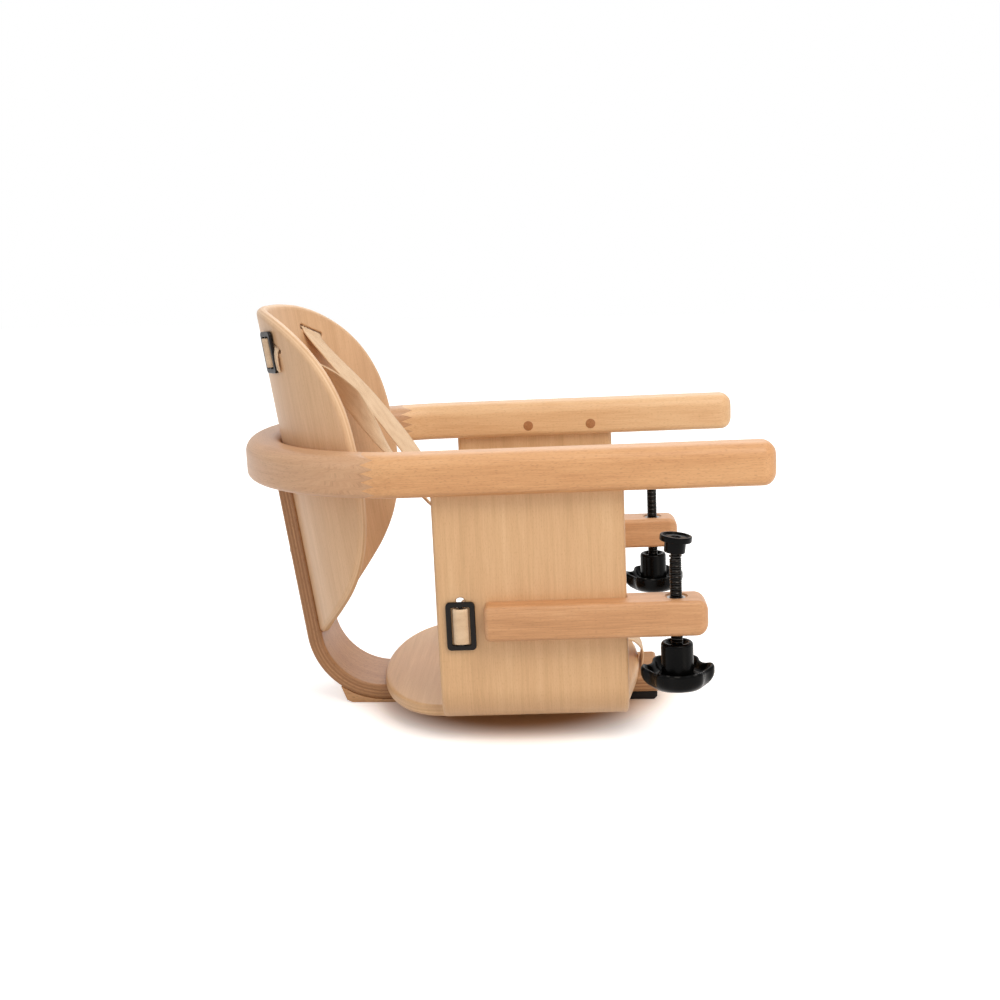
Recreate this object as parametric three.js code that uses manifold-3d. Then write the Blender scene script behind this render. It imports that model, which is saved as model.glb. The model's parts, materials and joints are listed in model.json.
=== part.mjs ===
// Hook-on table chair: a beech rail that lies on the table top, a moulded plywood seat hung from it,
// and two screw clamps that press up against the underside of the table.
// Millimetres, +X towards the table, +Y to the sitter's left, +Z up.
// The chair is drawn level, with the underside of its arms at z = 0 and the front edge of the side
// panels at x = 0, and is then tipped back until it stands on its rear pad and its front foot.

import * as THREE from 'three';
import { mergeVertices } from 'three/addons/utils/BufferGeometryUtils.js';
import Module from 'manifold-3d';

const wasm = await Module();
wasm.setup();

// Fits
const seatGap = 0.3;
const overrun = 20;

// The seat's width sets the rail, because the side panels stand in grooves under the arms
const shellHalfWidth = 155;
const panelInset = 19.7;

// Rail: a half ring at the back and two straight arms
const railWidth = 34;
const railHeight = 35;
const railTopRadius = 12;
const railBottomRadius = 6;
const railCentreX = -168;
const armFrontX = 121.5;
const armEndRadius = 11;
const armPlanRadius = 14;
const fingerJointX = -212;
const fingerLength = 11;
const fingerCount = 5;

// Seat shell: one moulded sheet, bottom and both side panels
const shellThickness = 10;
const shellBendRadius = 34;
const shellDepth = 157.3;
const seatUnderside = -199.7;
const panelTenon = 14;
const tongueLength = 65;
const tongueInset = 27;
const tongueRoundness = 0.9;
const slotEndShare = 0.98;
const frontBulge = 15;
const waistSlotWidth = 8;
const waistSlotHeight = 40;
const waistSlotX = -137;
const waistSlotZ = -107;

// Backrest shell: part of a leaning cylinder that stands against the inside of the rail
const backThickness = 10;
const backLean = THREE.MathUtils.degToRad(7);
const backProud = 2.3;
const backTopZ = 150;
const backTipZ = -157;
const backWidestAngle = THREE.MathUtils.degToRad(66.5);
const shoulderSlotLength = 27;
const shoulderSlotHeight = 5;
const shoulderSlotZ = 118.3;
const shoulderSlotY = 69.8;
const shoulderSlotSlant = THREE.MathUtils.degToRad(30);

// Spine: a laminated strip that runs down behind the backrest and forward under the seat
const spineWidth = 80;
const spineThickness = 13.5;
const spineSeatLip = 0.238;
const spineTopZ = 24;
const spineBendRadius = 70;
const spineFrontX = 33;
const spineTopOfFloorRun = seatUnderside - seatGap;
const padRearSetback = 39;
const padLength = 66;
const padHeight = 2.5;
const footFrontX = 30;
const footRearX = 4;
const footHeight = 8.2;
const footInset = 4;
const footChamfer = 3;

// Clamp arms
const clampArmRearX = -117;
const clampArmFrontX = 65;
const clampArmTopZ = -91;
const clampArmHeight = 30;
const clampArmProud = 17;
const clampArmInset = 17;
const clampArmEndRadius = 8;
const clampArmNoseRadius = 11.2;
const clampArmEdgeRadius = 4;

// Clamp screws
const screwX = 40;
const screwInset = 1;
const screwRadius = 5;
const screwNeckRadius = 3.5;
const screwBallRadius = 4.6;
const runClearance = 0.3;
const knobRadius = 30.5;
const knobHubRadius = 13.3;
const knobHubTopZ = -130;
const knobHubHeight = 20;
const knobBowlHeight = 21;
const knobWall = 4;
const knobLobes = 6;
const knobFlatRadius = 14.4;
const knobLobeRoundness = 0.7;
const bowlShare = 0.72;
const dishShare = 0.42;
const dishFloorShare = 0.8;
const hubChamferShare = 0.3;
const knobRootRadius = 22;
const padTopZ = -40;
const padFlangeRadius = 13.2;
const padFlangeHeight = 5;
const padHubRadius = 8.8;
const padHubHeight = 9.5;
const padDish = 1.6;
const padRim = 2.2;
const padTilt = THREE.MathUtils.degToRad(7);
const ringOuterRadius = 6.6;
const ringHeight = 1.4;
const insertRadius = 7.5;
const insertFlangeRadius = 9.5;
const insertFlangeHeight = 1.2;
const insertLength = 22;

// Fasteners
const dowelRadius = 5;
const dowelZ = 10.9;
const dowelRearX = -84;
const dowelFrontX = -21;
const dowelCover = 5;
const screwHeadRadius = 4.5;
const screwShankRadius = 2.4;
const screwHeadHeight = 2.8;
const screwCrownRadius = 3.24;
const screwRimHeight = 0.93;
const railScrewSink = 4.2;
const clampScrewInset = 24;
const clampScrewSpacing = 52;
const clampScrewLength = 21;
const seatScrewSpacing = 76;
const seatScrewX = -118;
const seatScrewLength = 19;
const railScrewHalfSpacing = 26;
const railScrewZ = 14;
const railScrewLength = 24.8;
const backScrewHalfSpacing = 24;
const backScrewZ = -72;
const backScrewLength = 15;
const footScrewLength = 12;

// Harness
const waistWebWidth = 30;
const shoulderWebWidth = 25;
const webThickness = 1.6;
const strapRun = [[-233, 54, 56], [-193, 38, 5], [-168, 27, -36], [-120, 19, -70]];
const glideBar = 4.4;
const glideThickness = 3;
const glideWindow = 15.5;
const glideCorner = 3.5;
const waistGlideX = -137.2;
const waistGlideZ = -110.7;
const backGlideZ = 108;
const backGlideAngle = THREE.MathUtils.degToRad(23);
const buckleX = -44;
const buckleZ = -112;
const buckleWidth = 46;
const buckleHeight = 44;
const buckleDepth = 15;
const buckleCorner = 9;
const buckleButtonRadius = 8;
const buckleButtonProud = 1.6;
const buckleButtonTravel = 2.4;
const buckleButtonDepth = 6;
const tongueBladeWidth = 20;
const tongueBladeLength = 16;
const tongueBladeThickness = 3;
const tongueLoopDepth = 12;
const webClear = 1.2;

// Roundness
const arcSteps = 4;
const ringSteps = 56;
const roundSteps = 18;
const backRows = 22;
const backColumns = 16;

const colours = {
  beech: { color: 0xd29a66, roughness: 0.55, metalness: 0 },
  paleBeech: { color: 0xd3a67c, roughness: 0.55, metalness: 0 },
  plywood: { color: 0xd8b088, roughness: 0.5, metalness: 0 },
  laminate: { color: 0xa9764b, roughness: 0.6, metalness: 0 },
  plug: { color: 0xb98054, roughness: 0.6, metalness: 0 },
  rubber: { color: 0x1b1917, roughness: 0.85, metalness: 0 },
  blackPlastic: { color: 0x141414, roughness: 0.45, metalness: 0 },
  blackSteel: { color: 0x1c1c1e, roughness: 0.4, metalness: 0.8 },
  steel: { color: 0xb4b6b8, roughness: 0.35, metalness: 1 },
  webbing: { color: 0xdcc39c, roughness: 0.9, metalness: 0 },
};

const railInnerRadius = shellHalfWidth - panelInset;
const railOuterRadius = railInnerRadius + railWidth;
const dowelDepth = railWidth - dowelCover;
const tongueHalfWidth = shellHalfWidth - tongueInset;
const screwY = shellHalfWidth - screwInset;
const backRadius = railInnerRadius - seatGap;
const backFaceX = railCentreX - railInnerRadius + backProud;
const spineSeatSag = backRadius - Math.sqrt(backRadius ** 2 - (spineWidth / 2) ** 2) + spineSeatLip;
const padRearX = backFaceX + padRearSetback;
const padFrontX = padRearX + padLength;
const footHalfWidth = spineWidth / 2 - footInset;
const seatTop = seatUnderside + shellThickness;
const spineUnderside = spineTopOfFloorRun - spineThickness;

// Geometry helpers

// Volume inside a closed mesh, negative when its faces point inwards.
function signedVolume(positions, index) {
  let sum = 0;
  for (let i = 0; i < index.length; i += 3) {
    const [a, b, c] = [index[i], index[i + 1], index[i + 2]].map((v) => new THREE.Vector3(
      positions[3 * v], positions[3 * v + 1], positions[3 * v + 2]));
    sum += a.dot(b.cross(c)) / 6;
  }
  return sum;
}

// A closed three.js geometry as a solid that can be cut and joined.
function solidOf(geometry) {
  const bare = geometry.clone();
  bare.deleteAttribute('normal');
  bare.deleteAttribute('uv');
  const merged = mergeVertices(bare, 1e-4);
  const positions = merged.getAttribute('position').array;
  const index = Array.from(merged.getIndex().array);
  const kept = [];
  for (let i = 0; i < index.length; i += 3) {
    const [a, b, c] = index.slice(i, i + 3);
    if (a !== b && b !== c && c !== a) kept.push(a, b, c);
  }
  if (signedVolume(positions, kept) < 0) {
    for (let i = 0; i < kept.length; i += 3) [kept[i + 1], kept[i + 2]] = [kept[i + 2], kept[i + 1]];
  }
  return new wasm.Manifold(new wasm.Mesh({
    numProp: 3,
    vertProperties: new Float32Array(positions),
    triVerts: new Uint32Array(kept),
  }));
}

function geometryOf(solid) {
  const mesh = solid.getMesh();
  const geometry = new THREE.BufferGeometry();
  geometry.setAttribute('position', new THREE.BufferAttribute(new Float32Array(mesh.vertProperties), 3));
  geometry.setIndex(new THREE.BufferAttribute(new Uint32Array(mesh.triVerts), 1));
  geometry.computeVertexNormals();
  return geometry;
}

const join = (...solids) => solids.reduce((a, b) => a.add(b));
const cut = (solid, ...tools) => tools.reduce((a, b) => a.subtract(b), solid);
const common = (...solids) => solids.reduce((a, b) => a.intersect(b));

// Turn and place a solid with a three.js matrix.
function placed(solid, matrix) {
  return solid.transform(matrix.toArray());
}

function moved(solid, x, y, z) {
  return solid.translate([x, y, z]);
}

// The same solid on the sitter's left, from the one on the right.
function mirrored(solid) {
  return solid.mirror([0, 1, 0]);
}

// A flat outline pushed along one axis. The outline is drawn in (y, z), (x, z) or (x, y).
function prism(shape, axis, from, to, steps = arcSteps) {
  const geometry = new THREE.ExtrudeGeometry(shape, {
    depth: to - from, bevelEnabled: false, curveSegments: steps,
  });
  geometry.translate(0, 0, from);
  const x = new THREE.Vector3(1, 0, 0);
  const y = new THREE.Vector3(0, 1, 0);
  const z = new THREE.Vector3(0, 0, 1);
  const basis = new THREE.Matrix4();
  if (axis === 'x') basis.makeBasis(y, z, x);
  if (axis === 'y') basis.makeBasis(x, z, y);
  geometry.applyMatrix4(basis);
  return solidOf(geometry);
}

function outline(points) {
  return new THREE.Shape(points.map(([u, v]) => new THREE.Vector2(u, v)));
}

// A rectangle whose corners are rounded, each with a radius of its own,
// in the order low-low, high-low, high-high, low-high.
function roundedRectangle(u0, v0, u1, v1, radii) {
  const [a, b, c, d] = radii;
  const shape = new THREE.Shape();
  shape.moveTo(u0 + a, v0);
  shape.lineTo(u1 - b, v0);
  shape.absarc(u1 - b, v0 + b, b, -Math.PI / 2, 0, false);
  shape.lineTo(u1, v1 - c);
  shape.absarc(u1 - c, v1 - c, c, 0, Math.PI / 2, false);
  shape.lineTo(u0 + d, v1);
  shape.absarc(u0 + d, v1 - d, d, Math.PI / 2, Math.PI, false);
  shape.lineTo(u0, v0 + a);
  shape.absarc(u0 + a, v0 + a, a, Math.PI, Math.PI * 1.5, false);
  return shape;
}

function box(x0, x1, y0, y1, z0, z1) {
  const geometry = new THREE.BoxGeometry(x1 - x0, y1 - y0, z1 - z0);
  geometry.translate((x0 + x1) / 2, (y0 + y1) / 2, (z0 + z1) / 2);
  return solidOf(geometry);
}

// A turned piece about the z axis, from a profile of (radius, height) points.
function turned(profile, steps = roundSteps) {
  const points = profile.map(([r, z]) => new THREE.Vector2(r, z));
  const geometry = new THREE.LatheGeometry(points, steps);
  geometry.rotateX(Math.PI / 2);
  return solidOf(geometry);
}

// A round rod whose axis runs along x, y or z from one end to the other.
function rod(radius, axis, from, to, steps = roundSteps) {
  const along = turned([[0, from], [radius, from], [radius, to], [0, to]], steps);
  if (axis === 'x') return along.rotate([0, 90, 0]);
  if (axis === 'y') return along.rotate([-90, 0, 0]);
  return along;
}

// Rail

// The rail's section: a large radius on both top edges, a smaller one below.
function railSection(from, to) {
  const radii = [railBottomRadius, railBottomRadius, railTopRadius, railTopRadius];
  return roundedRectangle(from, 0, to, railHeight, radii);
}

function wholeRail() {
  const profile = railSection(railInnerRadius, railOuterRadius).getPoints(arcSteps);
  profile.push(profile[0].clone());
  const ringGeometry = new THREE.LatheGeometry(profile, ringSteps);
  ringGeometry.rotateX(Math.PI / 2);
  const ring = moved(solidOf(ringGeometry), railCentreX, 0, 0);
  const half = common(ring, box(railCentreX - railOuterRadius - overrun, railCentreX,
    -railOuterRadius - overrun, railOuterRadius + overrun, -overrun, railHeight + overrun));
  const arm = prism(railSection(railInnerRadius, railOuterRadius), 'x', railCentreX, armFrontX);
  const side = prism(roundedRectangle(railCentreX - overrun, 0, armFrontX, railHeight,
    [0, armEndRadius, armEndRadius, 0].map((r) => r || seatGap)), 'y', 0, railOuterRadius + overrun);
  const plan = prism(roundedRectangle(railCentreX - overrun, railInnerRadius, armFrontX, railOuterRadius,
    [0, armPlanRadius, armPlanRadius, 0].map((r) => r || seatGap)), 'z', -overrun, railHeight + overrun);
  const left = common(arm, side, plan);
  return join(half, left, mirrored(left));
}

// The saw-toothed line of the finger joint, as an outline that covers everything behind it.
function behindFingers(shift) {
  const points = [[railCentreX - railOuterRadius - overrun, -overrun], [fingerJointX + shift, -overrun]];
  const pitch = railHeight / fingerCount;
  for (let i = 0; i <= fingerCount; i += 1) {
    points.push([fingerJointX + shift, i * pitch]);
    if (i < fingerCount) points.push([fingerJointX + shift + fingerLength, (i + 0.5) * pitch]);
  }
  points.push([fingerJointX + shift, railHeight + overrun]);
  points.push([railCentreX - railOuterRadius - overrun, railHeight + overrun]);
  return prism(outline(points), 'y', -railOuterRadius - overrun, railOuterRadius + overrun);
}

// Backrest frame of reference: the cylinder's inner frame leans back about the line x = backFaceX, z = 0.
const backMatrix = new THREE.Matrix4()
  .makeTranslation(backFaceX, 0, 0)
  .multiply(new THREE.Matrix4().makeRotationY(-backLean));

// Half outline of the backrest as (share of the widest angle, share of the height from tip to top).
const backOutlineShares = [
  [0, 1], [0.26, 0.994], [0.46, 0.975], [0.64, 0.935], [0.8, 0.87], [0.91, 0.79], [0.975, 0.7],
  [1, 0.6], [1, 0.48], [0.965, 0.36], [0.9, 0.27], [0.79, 0.185], [0.64, 0.11], [0.47, 0.045],
  [0.32, 0.012], [0.16, 0.001], [0, 0],
];

function backShellGeometry() {
  const curve = new THREE.CatmullRomCurve3(backOutlineShares.map(([a, h]) => new THREE.Vector3(
    a * backWidestAngle, 0, backTipZ + h * (backTopZ - backTipZ))), false, 'centripetal');
  const rows = curve.getPoints(backRows);
  const positions = [];
  const index = [];
  const starts = [];
  for (const radius of [backRadius, backRadius - backThickness]) {
    const layer = [];
    for (const [k, row] of rows.entries()) {
      const single = k === 0 || k === backRows;
      const angle = single ? 0 : Math.max(row.x, 0);
      layer.push(positions.length / 3);
      const count = single ? 1 : backColumns + 1;
      for (let j = 0; j < count; j += 1) {
        const phi = single ? 0 : angle * (2 * j / backColumns - 1);
        positions.push(backRadius - radius * Math.cos(phi), radius * Math.sin(phi), row.z);
      }
    }
    starts.push(layer);
  }
  for (const [side, layer] of starts.entries()) {
    const face = (a, b, c) => (side === 0 ? index.push(a, b, c) : index.push(a, c, b));
    for (let j = 0; j < backColumns; j += 1) {
      face(layer[0], layer[1] + j + 1, layer[1] + j);
      face(layer[backRows], layer[backRows - 1] + j, layer[backRows - 1] + j + 1);
      for (let k = 1; k < backRows - 1; k += 1) {
        const [a, b] = [layer[k] + j, layer[k] + j + 1];
        const [c, d] = [layer[k + 1] + j + 1, layer[k + 1] + j];
        face(a, b, c);
        face(a, c, d);
      }
    }
  }
  const [outer, inner] = starts;
  for (const last of [0, backColumns]) {
    for (let k = 0; k < backRows; k += 1) {
      const offsetA = k === 0 ? 0 : last;
      const offsetB = k + 1 === backRows ? 0 : last;
      const [a, b] = [outer[k] + offsetA, outer[k + 1] + offsetB];
      const [c, d] = [inner[k + 1] + offsetB, inner[k] + offsetA];
      if (last) index.push(a, c, b, a, d, c);
      else index.push(a, b, c, a, c, d);
    }
  }
  const geometry = new THREE.BufferGeometry();
  geometry.setAttribute('position', new THREE.Float32BufferAttribute(positions, 3));
  geometry.setIndex(index);
  return geometry;
}

// A slot through the backrest for one shoulder strap.
function shoulderSlot() {
  const half = shoulderSlotLength / 2;
  const thick = shoulderSlotHeight / 2;
  const round = thick * slotEndShare;
  const shape = roundedRectangle(-half, -thick, half, thick, [round, round, round, round]);
  const slot = prism(shape, 'x', -overrun, backRadius / 2);
  const slant = new THREE.Matrix4().makeRotationX(-shoulderSlotSlant);
  return moved(placed(slot, slant), 0, shoulderSlotY, shoulderSlotZ);
}

function backScrewHoles(radius) {
  return [-1, 1].map((side) => placed(moved(rod(radius, 'x', -overrun, backThickness * 2),
    0, side * backScrewHalfSpacing, backScrewZ), backMatrix));
}

function backrestShell() {
  const slot = shoulderSlot();
  const shell = cut(solidOf(backShellGeometry()), slot, mirrored(slot));
  return cut(placed(shell, backMatrix), ...backScrewHoles(screwShankRadius + seatGap));
}

// The space that the backrest takes behind it, with a gap: the rail and the spine are cut to seat it.
function backSeatTool() {
  const drum = rod(backRadius + seatGap, 'z', backTipZ - overrun, backTopZ + overrun, ringSteps);
  return placed(moved(drum, backRadius, 0, 0), backMatrix);
}

// Spine

const leanSlope = Math.tan(backLean);
const spineFaceX = (z) => backFaceX + spineSeatSag - leanSlope * z;
const spineLevelThickness = spineThickness / Math.cos(backLean);

// Where the spine turns from its lean to the floor run, with the bend's centre.
function spineBend() {
  const cornerX = spineFaceX(spineUnderside) - spineLevelThickness;
  const turn = Math.PI / 2 - backLean;
  const reach = spineBendRadius * Math.tan(turn / 2);
  return { centreX: cornerX + reach, centreZ: spineUnderside + spineBendRadius, turn };
}

function spineArc(radius, steps) {
  const { centreX, centreZ, turn } = spineBend();
  const points = [];
  for (let i = 0; i <= steps; i += 1) {
    const angle = Math.PI + backLean + turn * i / steps;
    points.push([centreX + radius * Math.cos(angle), centreZ + radius * Math.sin(angle)]);
  }
  return points;
}

function spineSlab(grow = 0) {
  const top = spineTopZ + grow;
  const outer = spineArc(spineBendRadius + grow, arcSteps * 2);
  const inner = spineArc(spineBendRadius - spineThickness - grow, arcSteps * 2).reverse();
  const points = [
    [spineFaceX(top) - spineLevelThickness - grow, top],
    ...outer,
    [spineFrontX + grow, spineUnderside - grow],
    [spineFrontX + grow, spineTopOfFloorRun + grow],
    ...inner,
    [spineFaceX(top) + grow, top],
  ];
  return prism(outline(points), 'y', -spineWidth / 2 - grow, spineWidth / 2 + grow);
}

function spine() {
  const holes = backScrewHoles(screwShankRadius + seatGap);
  return cut(spineSlab(), backSeatTool(), ...holes, ...railScrewHoles(screwShankRadius + seatGap),
    ...seatScrewHoles(), footScrewHole());
}

// Floor line under the chair, through the underside of the rear pad and of the front foot.
const floorSlope = (footHeight - padHeight) / (footRearX - padRearX);
const floorZ = (x) => spineUnderside - padHeight - floorSlope * (x - padRearX);
const chairLean = Math.atan(floorSlope);

function rearPad() {
  const { centreX, centreZ } = spineBend();
  const under = [];
  for (let i = 0; i <= arcSteps; i += 1) {
    const x = padRearX + (Math.min(centreX, padFrontX) - padRearX) * i / arcSteps;
    const radius = spineBendRadius + seatGap;
    under.push([x, centreZ - Math.sqrt(radius * radius - (x - centreX) * (x - centreX))]);
  }
  under.push([padFrontX, spineUnderside - seatGap]);
  const points = [...under, [padFrontX, floorZ(padFrontX)], [padRearX + padHeight * 4, floorZ(padRearX)],
    [padRearX + padHeight * 2, floorZ(padRearX) + padHeight]];
  return prism(outline(points), 'y', -spineWidth / 2, spineWidth / 2);
}

function frontFoot() {
  const top = spineUnderside - seatGap;
  const points = [
    [footRearX, top], [footRearX, floorZ(footRearX)],
    [footFrontX - footChamfer, floorZ(footFrontX - footChamfer)],
    [footFrontX, floorZ(footFrontX) + footChamfer], [footFrontX, top],
  ];
  const pad = prism(outline(points), 'y', -footHalfWidth, footHalfWidth);
  const middle = (footRearX + footFrontX) / 2;
  const bore = moved(rod(screwHeadRadius + seatGap, 'z', -footHeight - overrun, -footHeight / 2 + seatGap),
    middle, 0, top);
  const hole = moved(rod(screwShankRadius + seatGap, 'z', -footHeight - overrun, overrun), middle, 0, top);
  return cut(pad, bore, hole);
}

function footScrewHole() {
  const middle = (footRearX + footFrontX) / 2;
  return moved(rod(screwShankRadius + seatGap, 'z', -overrun, footScrewLength - footHeight / 2 + seatGap),
    middle, 0, spineUnderside);
}

function footScrew() {
  const head = spineUnderside - seatGap - footHeight / 2;
  return moved(woodScrew(footScrewLength), (footRearX + footFrontX) / 2, 0, head);
}

// Seat shell

function shellSection() {
  const shape = new THREE.Shape();
  const top = panelTenon;
  const bend = shellBendRadius;
  const inner = bend - shellThickness;
  const w = shellHalfWidth;
  shape.moveTo(-w, top);
  shape.lineTo(-w, seatUnderside + bend);
  shape.absarc(-w + bend, seatUnderside + bend, bend, Math.PI, Math.PI * 1.5, false);
  shape.lineTo(w - bend, seatUnderside);
  shape.absarc(w - bend, seatUnderside + bend, bend, -Math.PI / 2, 0, false);
  shape.lineTo(w, top);
  shape.lineTo(w - shellThickness, top);
  shape.lineTo(w - shellThickness, seatUnderside + bend);
  shape.absarc(w - bend, seatUnderside + bend, inner, 0, -Math.PI / 2, true);
  shape.lineTo(-w + bend, seatTop);
  shape.absarc(-w + bend, seatUnderside + bend, inner, Math.PI * 1.5, Math.PI, true);
  shape.lineTo(-w + shellThickness, top);
  shape.closePath();
  return shape;
}

// Plan of the seat bottom: a rounded tongue behind the panels and a gentle bulge in front.
function seatPlan() {
  const points = [];
  const steps = arcSteps * 4;
  for (let i = 0; i <= steps; i += 1) {
    const angle = Math.PI * i / steps;
    points.push([-shellDepth - tongueLength * Math.sin(angle) ** tongueRoundness,
      -tongueHalfWidth * Math.cos(angle)]);
  }
  points.push([-shellDepth, shellHalfWidth + overrun]);
  points.push([0, shellHalfWidth + overrun]);
  for (let i = 0; i <= steps; i += 1) {
    const across = shellHalfWidth * (1 - 2 * i / steps);
    points.push([frontBulge * Math.cos(Math.PI * across / shellHalfWidth / 2), across]);
  }
  points.push([0, -shellHalfWidth - overrun]);
  points.push([-shellDepth, -shellHalfWidth - overrun]);
  return points;
}

function waistSlot() {
  const half = waistSlotWidth / 2;
  const round = half * slotEndShare;
  return prism(roundedRectangle(waistSlotX - half, waistSlotZ - waistSlotHeight / 2,
    waistSlotX + half, waistSlotZ + waistSlotHeight / 2, [round, round, round, round]),
  'y', -shellHalfWidth - overrun, shellHalfWidth + overrun);
}

function seatShell() {
  const sheet = prism(shellSection(), 'x', -shellDepth - tongueLength - overrun, frontBulge + overrun);
  const panels = box(-shellDepth, 0, -shellHalfWidth - overrun, shellHalfWidth + overrun,
    seatUnderside - overrun, panelTenon + overrun);
  const bottom = prism(outline(seatPlan()), 'z', seatUnderside - overrun, seatTop + seatGap);
  const shell = common(sheet, join(panels, bottom));
  return cut(shell, waistSlot(), ...dowelHoles(), ...clampScrewHoles(), ...seatScrewHoles());
}

// Cross dowels hold the panels in the grooves of the arms
const dowelPlaces = [['rear', dowelRearX], ['front', dowelFrontX]];

function dowel(x) {
  const start = railInnerRadius + seatGap;
  return moved(rod(dowelRadius, 'y', start, railInnerRadius + dowelDepth), x, 0, dowelZ);
}

function dowelHoles() {
  return dowelPlaces.flatMap(([, x]) => {
    const hole = moved(rod(dowelRadius + seatGap, 'y', railInnerRadius - overrun,
      railInnerRadius + dowelDepth + seatGap), x, 0, dowelZ);
    return [hole, mirrored(hole)];
  });
}

// A round-headed wood screw, its shank pointing up the z axis from the head's seat at z = 0.
function woodScrew(length) {
  const point = screwShankRadius * 2;
  return turned([
    [0, -screwHeadHeight], [screwCrownRadius, -screwHeadHeight], [screwHeadRadius, -screwRimHeight],
    [screwHeadRadius, 0], [screwShankRadius, 0], [screwShankRadius, length - point], [0, length],
  ], arcSteps * 2);
}

// Seat to spine screws, driven up from below the spine with their heads sunk in it.
const seatScrewPlaces = [['rear', seatScrewX], ['front', seatScrewX + seatScrewSpacing]];
const seatScrewHeadZ = spineUnderside + screwHeadHeight + seatGap;

function seatScrewHoles() {
  return seatScrewPlaces.map(([, x]) => moved(join(
    rod(screwHeadRadius + seatGap, 'z', -overrun, seatGap),
    rod(screwShankRadius + seatGap, 'z', 0, seatScrewLength + seatGap),
  ), x, 0, seatScrewHeadZ));
}

function seatScrew(x) {
  return moved(woodScrew(seatScrewLength), x, 0, seatScrewHeadZ);
}

// Rail screws come from the front of the spine into the back of the rail, behind the backrest.
function railScrewSeatX() {
  const sag = backRadius - Math.sqrt(backRadius ** 2 - railScrewHalfSpacing ** 2);
  return backFaceX - leanSlope * railScrewZ + sag - railScrewSink;
}

function railScrewTurn(side) {
  return new THREE.Matrix4().makeTranslation(railScrewSeatX(), side * railScrewHalfSpacing, railScrewZ)
    .multiply(new THREE.Matrix4().makeRotationY(-Math.PI / 2));
}

function railScrewHoles(radius) {
  const hole = join(rod(radius, 'z', -overrun, railScrewLength + seatGap),
    rod(screwHeadRadius + seatGap, 'z', -overrun, seatGap));
  return [-1, 1].map((side) => placed(hole, railScrewTurn(side)));
}

function railScrew(side) {
  return placed(woodScrew(railScrewLength), railScrewTurn(side));
}

// Backrest screws go through the spine from behind into the backrest.
function backScrew(side) {
  const turn = new THREE.Matrix4().makeRotationY(Math.PI / 2);
  const seat = spineSeatSag - spineThickness - seatGap;
  const solid = moved(placed(woodScrew(backScrewLength), turn),
    seat, side * backScrewHalfSpacing, backScrewZ);
  return placed(solid, backMatrix);
}

// Clamp arms

const clampArmBottomZ = clampArmTopZ - clampArmHeight;
const clampOuterY = shellHalfWidth + clampArmProud;
const clampInnerY = shellHalfWidth - clampArmInset;

function clampScrewPlaces() {
  const z = (clampArmTopZ + clampArmBottomZ) / 2;
  const rear = clampArmRearX + clampScrewInset;
  return [['rear', rear, z], ['front', rear + clampScrewSpacing, z]];
}

const clampScrewSeatY = shellHalfWidth - shellThickness - seatGap;

function clampScrewHoles() {
  return clampScrewPlaces().flatMap(([, x, z]) => {
    const hole = moved(rod(screwShankRadius + seatGap, 'y', clampScrewSeatY - overrun,
      clampScrewSeatY + clampScrewLength + seatGap), x, 0, z);
    return [hole, mirrored(hole)];
  });
}

function clampScrew(x, z) {
  const turn = new THREE.Matrix4().makeRotationX(-Math.PI / 2);
  return moved(placed(woodScrew(clampScrewLength), turn), x, clampScrewSeatY, z);
}

function clampArm() {
  const edge = clampArmEdgeRadius;
  const section = prism(roundedRectangle(clampInnerY, clampArmBottomZ, clampOuterY, clampArmTopZ,
    [edge, edge, edge, edge]), 'x', clampArmRearX, clampArmFrontX);
  const side = prism(roundedRectangle(clampArmRearX, clampArmBottomZ, clampArmFrontX, clampArmTopZ,
    [edge, clampArmNoseRadius, clampArmEndRadius, edge]),
  'y', clampInnerY - overrun, clampOuterY + overrun);
  const plan = prism(roundedRectangle(clampArmRearX, clampInnerY, clampArmFrontX, clampOuterY,
    [edge, clampArmEndRadius, clampArmEndRadius, edge]),
  'z', clampArmBottomZ - overrun, clampArmTopZ + overrun);
  const rebate = box(clampArmRearX - overrun, seatGap, clampInnerY - overrun, shellHalfWidth + seatGap,
    clampArmBottomZ - overrun, clampArmTopZ + overrun);
  const bore = moved(insertBody(seatGap), screwX, screwY, 0);
  const through = moved(rod(screwRadius + runClearance, 'z', clampArmBottomZ - overrun,
    clampArmTopZ + overrun), screwX, screwY, 0);
  return cut(common(section, side, plan), rebate, bore, through, ...clampScrewHoles());
}

// Threaded insert, pressed into the top of the clamp arm.
function insertBody(grow) {
  const top = clampArmTopZ;
  return turned([
    [0, top - insertLength - grow], [insertRadius + grow, top - insertLength - grow],
    [insertRadius + grow, top - grow / 2], [insertFlangeRadius, top - grow / 2],
    [insertFlangeRadius, top + overrun], [0, top + overrun],
  ]);
}

function threadedInsert() {
  const top = clampArmTopZ;
  const solid = turned([
    [0, top - insertLength], [insertRadius, top - insertLength], [insertRadius, top + seatGap],
    [insertFlangeRadius, top + seatGap], [insertFlangeRadius, top + seatGap + insertFlangeHeight],
    [0, top + seatGap + insertFlangeHeight],
  ]);
  const bore = rod(screwRadius + runClearance, 'z', top - insertLength - overrun, top + overrun);
  return moved(cut(solid, bore), screwX, screwY, 0);
}

// Clamp screw, knob, swivel pad and snap ring, drawn on the screw's own axis

const padHubBottomZ = padTopZ - padFlangeHeight - padHubHeight;
const ballZ = padTopZ - padFlangeHeight - padHubHeight / 3;
const ringTopZ = padHubBottomZ - padRim;

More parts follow.
